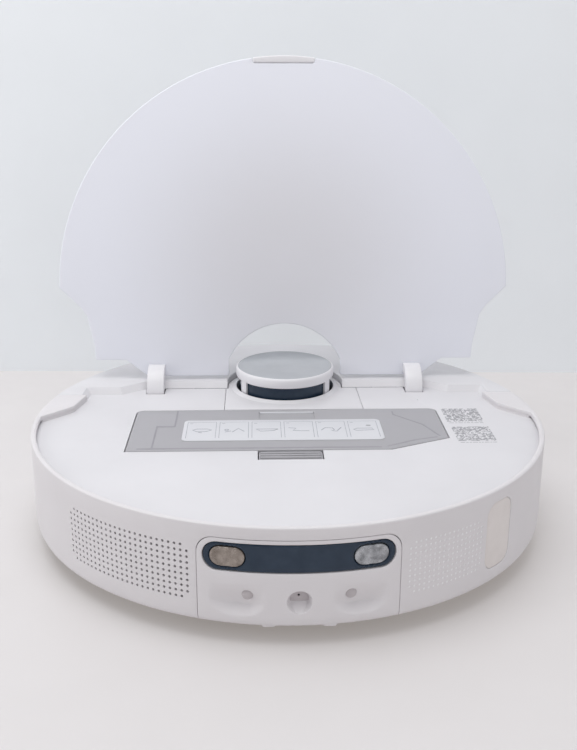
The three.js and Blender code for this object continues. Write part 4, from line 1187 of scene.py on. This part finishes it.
# ---- front bumper ----
def build_bumper():
    end_u = BODY_R * math.acos(-(BUMPER_LOW.y) / BODY_R)
    middle_u = BODY_R * math.pi
    low_v = BASE_V + 1.0
    high_v = BUMPER_HIGH.z
    side = wall_rows(low_v, high_v)
    across = spaced(end_u, 2 * middle_u - end_u, 60)
    outline = (
        [(u, low_v) for u in across]
        + [(across[-1], v) for v in side[1:-1]]
        + [(u, high_v) for u in reversed(across)]
        + [(across[0], v) for v in reversed(side[1:-1])]
    )
    low, high = node_box("bumper_window")
    ends = (middle_u - u_of_x(high.x), middle_u + u_of_x(high.x))
    opening = oblong(ends[0] - GAP, ends[1] + GAP, low.z - GAP, high.z + GAP, 11.2, 10)
    wall = skin(outline, [opening], points=[(u, v) for u in across for v in side], thickness=1.3)
    piece("bumper_wall", wall, "shell_white", "bumper", "front_bumper")
    loop = oblong(*ends, low.z, high.z, 10.9, 10)
    glass = skin(loop, points=grid(*ends, low.z, high.z, 3, 5), roll=0.8, sink=0.2)
    piece("bumper_glass", glass, "window_dark", "bumper", "bumper_window")


# ---- dust box ----
POCKET_X = (-20.0, 19.0)
POCKET_Y = (2.6, 16.8)
LABEL_CELLS = 6
COVER_RIBS = [
    (1.2, [(-78.2, 19.0), (-78.2, -10.4)]),
    (1.2, [(-90.3, -12.8), (-90.3, -50.0)]),
    (2.4, [(-91.0, -11.6), (-77.6, -11.6)]),
    (1.2, [(75.4, 15.0), (75.4, 8.8), (93.4, -11.5), (101.5, -33.0)]),
    (1.4, [(64.0, -50.5), (84.4, -39.5), (99.5, -34.8)]),
    (1.8, [(-100.0, -51.5), (60.0, -51.5)]),
]


def stroke(points, width, z, closed=False):
    """A thin printed line along the points, as a raised strip."""
    count = len(points)
    bm = bmesh.new()
    rings = []
    for i, (x, y) in enumerate(points):
        before = Vector(points[i - 1]) if i or closed else Vector((x, y))
        after = Vector(points[(i + 1) % count]) if i < count - 1 or closed else Vector((x, y))
        along = (after - before).normalized()
        side = Vector((-along.y, along.x)) * width / 2
        corners = ((1, z - 0.05), (-1, z - 0.05), (-1, z), (1, z))
        rings.append([bm.verts.new((x + s * side.x, y + s * side.y, height)) for s, height in corners])
    bridge(bm, rings, along=closed, capped=not closed)
    return bm


def label_icons(x, y):
    """Six plain pictograms of care steps, each a list of (points, closed), centred near x and y."""
    boat = [(x - 6, y + 1), (x - 3, y + 3), (x + 4, y + 3), (x + 7, y + 1), (x + 3, y - 2), (x - 3, y - 2)]
    peak = [(x - 1, y - 3), (x + 3, y + 3.5), (x + 7, y - 2)]
    tray = [(x - 7, y + 2), (x - 4, y - 2), (x + 5, y - 1), (x + 8, y + 2)]
    fork = [(x - 7, y + 4), (x - 2, y + 3), (x - 4, y - 1), (x + 2, y - 2), (x + 7, y - 2)]
    cloth = [(x - 7, y - 1), (x - 4, y + 3.5), (x + 1, y + 3), (x + 2, y - 1)]
    bar = [(x - 7, y), (x - 4, y + 2), (x + 6, y + 2), (x + 7, y - 1), (x - 5, y - 2)]
    return [
        [(boat, True), ([(x - 2, y - 3), (x + 0.5, y - 4.2)], False)],
        [(circle(x - 5, y + 1, 1.2, 10), True), (peak, False), ([(x - 6, y - 3), (x - 2, y - 1)], False)],
        [(tray, True)],
        [(fork, False)],
        [(cloth, False), ([(x + 4, y - 2), (x + 7, y + 4)], False), (arc(x + 3, y, 3, 200, 300, 6), False)],
        [(bar, True)],
    ]


def build_label():
    """The label's film, a frame and pictogram in each of its cells, and one small dot."""
    z = LABEL_HIGH.z
    print_z = z + 0.05
    profile = round_top(LABEL_LOW.z - 0.15, z, 0.12, 2)
    film = plate(LABEL_LOW.x, LABEL_HIGH.x, LABEL_LOW.y, LABEL_HIGH.y, 4, profile)
    piece("label_film", film, "label_white", "dust_box_cover", "dust_cover_label")
    first = LABEL_LOW.x + 2.6
    width = (LABEL_HIGH.x - LABEL_LOW.x - 3) / LABEL_CELLS
    low = LABEL_LOW.y + 4.5
    high = LABEL_HIGH.y - 4.0
    strokes = []
    for i in range(LABEL_CELLS):
        x0 = first + i * width
        x1 = x0 + width - 2.4
        strokes.append(stroke([(x0, low), (x0, high), (x1, high), (x1, low)], 0.34, print_z))
        strokes.append(stroke([(x0 + 1.5, high - 2.6), (x0 + 3.6, high - 2.6)], 0.5, print_z))
        for points, closed in label_icons((x0 + x1) / 2, (low + high) / 2 - 1)[i]:
            strokes.append(stroke(points, 0.75, print_z, closed))
    piece("label_print", merged(*strokes), "print_pale", "dust_box_cover")
    x = first + 5.62 * width
    dot = plate(x - 1.7, x + 1.7, high - 9.6, high - 7.4, 1.0, [(0, z - 0.02), (0, print_z)], 5)
    piece("label_dot", dot, "print_grey", "dust_box_cover")


def build_dust_box():
    """The smoky cover with its finger pocket, grip, ribs and label, and the ribbed latch."""
    top = DUST_HIGH.z
    under = DUST_LOW.z
    (x0, x1), (y0, y1) = POCKET_X, POCKET_Y
    pocket = oblong(x0, x1, y0, y1, 1.5, 5)
    cover = slab([softened(dust_outline(0), 1.0, 3), pocket], round_top(under, top, 0.5, 3))
    tray = plate(x0 - 0.6, x1 + 0.6, y0 - 0.6, y1 + 0.6, 2, [(0, under), (0, under + 0.7)], 5)
    piece("dust_cover_plate", merged(cover, tray), "smoke_clear", "dust_box_cover", "dust_cover")
    grip = plate(x0 + 0.4, x1 - 0.4, y1 - 1.8, y1 - 0.3, 0.4, round_top(under + 0.5, top - 0.1, 0.3, 2), 3)
    piece("dust_cover_grip", grip, "label_white", "dust_box_cover")
    ribs = [stroke(line, width, top + 0.06) for width, line in COVER_RIBS]
    piece("dust_cover_ribs", merged(*ribs), "rib_grey", "dust_box_cover")
    build_label()

    pad_top = LATCH_HIGH.z - 1.2
    near = LATCH_LOW.y
    x0, x1 = LATCH_LOW.x, LATCH_HIGH.x
    solids = [
        plate(x0, x1, near, DUST_LOW.y - 1.8, 1.2, round_top(pad_top - 2.2, pad_top, 0.4, 3), 4),
        plate(-15, 15, near + 3, LATCH_HIGH.y, 1, [(0, LATCH_LOW.z), (0, under - GAP)], 3),
    ]
    for i in range(3):
        y = near + 1.7 + 3.7 * i
        solids.append(plate(x0 + 1, x1 - 1, y, y + 2.2, 1.0, round_top(pad_top - 0.6, LATCH_HIGH.z, 0.7), 4))
    piece("dust_latch_tab", merged(*solids), "latch_grey", "dust_box_latch", "dust_latch")


# ---- wheels, brushes and mops ----
def build_tyres():
    """Two tyres with skewed lugs; their axles lie at y 0."""
    lugs = 18
    columns = 6
    steps = lugs * columns
    inner = 23.3
    groove = 1.8
    for name in ("left", "right"):
        node = f"wheel_tyre_{name}"
        x, _, z = middle(node)
        half, _, outer = half_size(node)
        bm = bmesh.new()
        rings = []
        for i in range(steps):
            top = outer if i % columns < columns / 2 else outer - groove
            ring = []
            tread = [(-1, top - 0.7), (-0.9, top), (0.9, top), (1, top - 0.7)]
            for across, r in [*tread, (1, inner), (-1, inner)]:
                a = 2 * math.pi * i / steps + across * math.pi / lugs * 0.5
                ring.append(bm.verts.new((x + across * half, r * math.sin(a), z + r * math.cos(a))))
            rings.append(ring)
        bridge(bm, rings, along=True)
        piece(f"tread_{name}", bm, "tyre_rubber", f"wheel_{name}", node)


def build_main_brush():
    """A roller whose fins twist towards the middle, with an end cap on each side."""
    end_x = node_box("main_brush")[1].x
    radius = half_size("main_brush")[2]
    _, middle_y, middle_z = middle("main_brush")
    fins = 6
    core = 9.5
    half = end_x - 4
    side = [(core + 1.0, 0.16), (radius - 0.5, 0.06)]
    section = [(core, -0.40), *[(r, -offset) for r, offset in side], (radius, 0.0), *reversed(side)]
    bm = bmesh.new()
    rings = []
    for x in spaced(-half, half, 60):
        twist = math.radians(75) * (1 - abs(x) / half)
        ring = []
        for k in range(fins):
            for r, offset in section:
                a = 2 * math.pi * (k + offset) / fins + twist
                ring.append(bm.verts.new((x, middle_y + r * math.cos(a), middle_z + r * math.sin(a))))
        rings.append(ring)
    bridge(bm, rings, capped=True)
    upright = Matrix(((0, 0, 1, 0), (0, 1, 0, middle_y), (-1, 0, 0, middle_z), (0, 0, 0, 1)))
    cap = [(0, half - 0.2), (8.5, half - 0.2), (8.5, half + 1.4), (6, half + 2.2), (6, end_x), (0, end_x)]
    ends = [turned(lathe([(r, side * z) for r, z in cap], 32), upright) for side in (-1, 1)]
    piece("helical_brush", merged(bm, *ends), "brush_rubber", "brush_roller", "main_brush")


def build_side_brush():
    """A hub with three arms, each ending in a tuft of bristles that reaches the floor."""
    low, high = heights("side_brush")
    centre = Vector((112.0, 108.0, 0.0))
    reach = 49.5
    root_r = 20.5
    hub = lathe(
        [(0, low), (10.5, low), (12, low + 1.2), (11.5, low + 4.5), (8, low + 6), (6, low + 6.4), (6, high),
         (0, high)],
        48,
        centre.xy,
    )
    arms = []
    strands = bmesh.new()
    draws = random.Random(11)
    for deg in (15, 135, 255):
        loop = softened([(6, -3.2), (22, -2.6), (22, 2.6), (6, 3.2)], 1.2)
        arm = slab([loop], round_both(3.2, 6.0, 0.6, 3))
        arms.append(turned(arm, Matrix.Translation(centre) @ Matrix.Rotation(math.radians(deg), 4, "Z")))
        a = math.radians(deg)
        out = Vector((math.cos(a), math.sin(a), 0))
        across = Vector((-out.y, out.x, 0))
        for _ in range(46):
            b = math.radians(deg + draws.uniform(-5.5, 5.5))
            start = centre + Vector((0, 0, 4.4 + draws.uniform(-0.8, 0.8)))
            root = start + out * root_r + across * draws.uniform(-2, 2)
            tip = centre + Vector((reach * math.cos(b), reach * math.sin(b), draws.uniform(0.4, 2.2)))
            side = (tip - root).cross(Vector((0, 0, 1))).normalized() * 0.16
            corners = (side, -side, Vector((0, 0, 0.28)))
            lower = [strands.verts.new(root + corner) for corner in corners]
            upper = [strands.verts.new(tip + corner * 0.5) for corner in corners]
            bridge(strands, [lower, upper], capped=True)
    piece("side_brush_hub", merged(hub, *arms), "brush_rubber", "edge_brush", "side_brush")
    piece("side_brush_bristles", strands, "bristle_grey", "edge_brush")


def build_mops():
    """Two round pads of looped cloth: flat and tufted below, with soft sides."""
    steps = 120
    for name, side in (("left", -1), ("right", 1)):
        node = f"mop_pad_{name}"
        low, high = heights(node)
        x, y, _ = middle(node)
        radius = half_size(node)[0]
        draws = random.Random(21 + side)
        shares = (0.15, 0.3, 0.42, 0.54, 0.65, 0.76, 0.86, 0.94)
        profile = [(0.0, low + 0.6), *[(radius * share, low + 0.3) for share in shares]]
        profile += [(radius - 0.9, low + 1.0), (radius - 0.2, low + 2.4), (radius - 0.9, high - 0.8)]
        profile += [(radius - 3, high), (0.0, high)]
        bm = bmesh.new()
        rings = []
        for k, (r, z) in enumerate(profile):
            if r == 0:
                rings.append([bm.verts.new((x, y, z))])
                continue
            ring = []
            for i in range(steps):
                a = 2 * math.pi * i / steps
                tuft = 0.35 * math.sin(a * 40 + k * 2.1) + draws.uniform(-0.18, 0.18)
                rise = max(-0.28, tuft * 0.5) if z < low + 0.5 else tuft * 0.3
                bulge = min(r + (tuft * 0.5 if r > radius - 2 else 0), radius)
                height = min(max(z + rise, low), high)
                ring.append(bm.verts.new((x + bulge * math.cos(a), y + bulge * math.sin(a), height)))
            rings.append(ring)
        bridge(bm, rings)
        pad = piece(f"mop_cloth_{name}", bm, "pad_fabric", f"mop_{name}", node, sharp_deg=180)


# ---- underside ----
SCREW_PLACES = [*mirrored([(140, -60), (100, -128), (60, 120)]), (-150, 50), (0, -158)]


def build_guard():
    low, high = node_box("brush_guard")
    rim = oblong(low.x, high.x, low.y, high.y, 6, 6)
    inner = oblong(low.x + 8, high.x - 8, low.y + 7, high.y - 7, 3, 5)
    solid = slab([rim, inner], round_both(low.z, high.z, 0.6, 3))
    piece("brush_guard_frame", solid, "soft_grey", "chassis", "brush_guard")


def build_screws():
    """Screw heads with a recess in the middle, on the base plate."""
    z = heights("base_plate")[0]
    head = ((0, 0.6), (3.4, 0.6), (3.4, -0.4), (2.9, -1.1), (0.9, -1.4), (0.9, -0.5), (0, -0.5))
    profile = [(r, z + rise) for r, rise in head]
    solids = [lathe(profile, 28, place) for place in SCREW_PLACES]
    piece("base_screws", merged(*solids), "pin_steel", "chassis")


# ---- stage, camera and light ----
WALL_Y = 321.0
WALL_TURN_DEG = -1.9
CAMERA_AT = (-20.94, -643.46, 311.7)
CAMERA_RIGHT = Vector((0.99945, -0.03316, 0.0))
CAMERA_FORWARD = Vector((0.03152, 0.94997, -0.31077))
CAMERA_ROLL = 0.003
FOCAL_MM = 46.97


def add_camera():
    data = bpy.data.cameras.new("camera")
    data.sensor_width = 36
    data.lens = FOCAL_MM
    data.clip_start = 0.01
    camera = placed("camera", data)
    forward = CAMERA_FORWARD.normalized()
    right = (CAMERA_RIGHT - forward * CAMERA_RIGHT.dot(forward)).normalized()
    up = right.cross(forward)
    cos_r, sin_r = math.cos(CAMERA_ROLL), math.sin(CAMERA_ROLL)
    right, up = right * cos_r + up * sin_r, up * cos_r - right * sin_r
    looking = Matrix((right, up, -forward)).transposed().to_4x4()
    camera.matrix_world = Matrix.Translation(Vector(CAMERA_AT) * MM) @ looking
    bpy.context.scene.camera = camera


def add_plane(name, corners, look):
    mesh = bpy.data.meshes.new(name)
    mesh.from_pydata([Vector(c) * MM for c in corners], [], [(0, 1, 2, 3)])
    mesh.materials.append(look)
    placed(name, mesh)


def add_light(name, place, target, size, power, colour):
    data = bpy.data.lights.new(name, "AREA")
    data.shape = "RECTANGLE"
    data.size, data.size_y = size
    data.energy = power
    data.color = colour
    light = placed(name, data)
    light.location = place
    light.rotation_euler = (Vector(target) - Vector(place)).to_track_quat("-Z", "Y").to_euler()


def floor_finish():
    """A pale table top that glows a little, as light comes through it from all round."""
    made = finish("floor_pale", (184, 184, 187), 0.45, 1, 60, specular=0.3)
    glow = {"Emission Color": linear(255, 244, 236), "Emission Strength": 0.25}
    fill(made.node_tree, made.node_tree.nodes["Principled BSDF"], glow)
    return made


def one_sided(material):
    """Makes the back of a stage plane invisible, so the object can be seen from every side."""
    tree = material.node_tree
    back = add_node(tree, "NewGeometry", {}).outputs["Backfacing"]
    front = tree.nodes["Principled BSDF"].outputs["BSDF"]
    clear = add_node(tree, "BsdfTransparent", {}).outputs["BSDF"]
    mix = add_node(tree, "MixShader", {0: back, 1: front, 2: clear})
    fill(tree, tree.nodes["Material Output"], {"Surface": mix.outputs["Shader"]})
    return material


def build_stage():
    """A table top, a slightly turned wall behind it, a pale world and three soft lights."""
    far = 4000.0
    skew = far * math.tan(math.radians(WALL_TURN_DEG))
    floor = [(-far, -far, 0), (far, -far, 0), (far, far, 0), (-far, far, 0)]
    add_plane("floor", floor, one_sided(floor_finish()))
    (x0, y0), (x1, y1) = (-far, WALL_Y - skew), (far, WALL_Y + skew)
    wall = [(x0, y0, -1), (x1, y1, -1), (x1, y1, 2000), (x0, y0, 2000)]
    add_plane("backdrop", wall, one_sided(finish("wall_pale", (242, 246, 249), 0.8, 1, 80)))
    world = bpy.data.worlds.new("studio")
    world.use_nodes = True
    glow = {"Color": linear(242, 243, 247), "Strength": 0.55}
    fill(world.node_tree, world.node_tree.nodes["Background"], glow)
    bpy.context.scene.world = world
    add_light("key", (-0.25, -0.15, 1.4), (0, 0.05, 0), (1.2, 0.9), 9.6, (1.0, 0.99, 0.98))
    add_light("window", (-1.5, -0.1, 0.5), (0, 0.1, 0.05), (1.2, 0.9), 5.0, (1.0, 0.99, 0.98))
    add_light("fill", (0.8, -1.75, 0.9), (0, 0, 0.1), (1.5, 1.0), 3.7, (1.0, 0.96, 0.94))
    bpy.context.scene.view_settings.view_transform = "Standard"


add_camera()
for build in (
    build_stage, dress_frame, build_rear_shell, build_docking_panel, build_deck, build_front_cover,
    build_turret, build_lid, build_bumper, build_dust_box, build_tyres, build_main_brush,
    build_side_brush, build_mops, build_guard, build_screws,
):
    build()
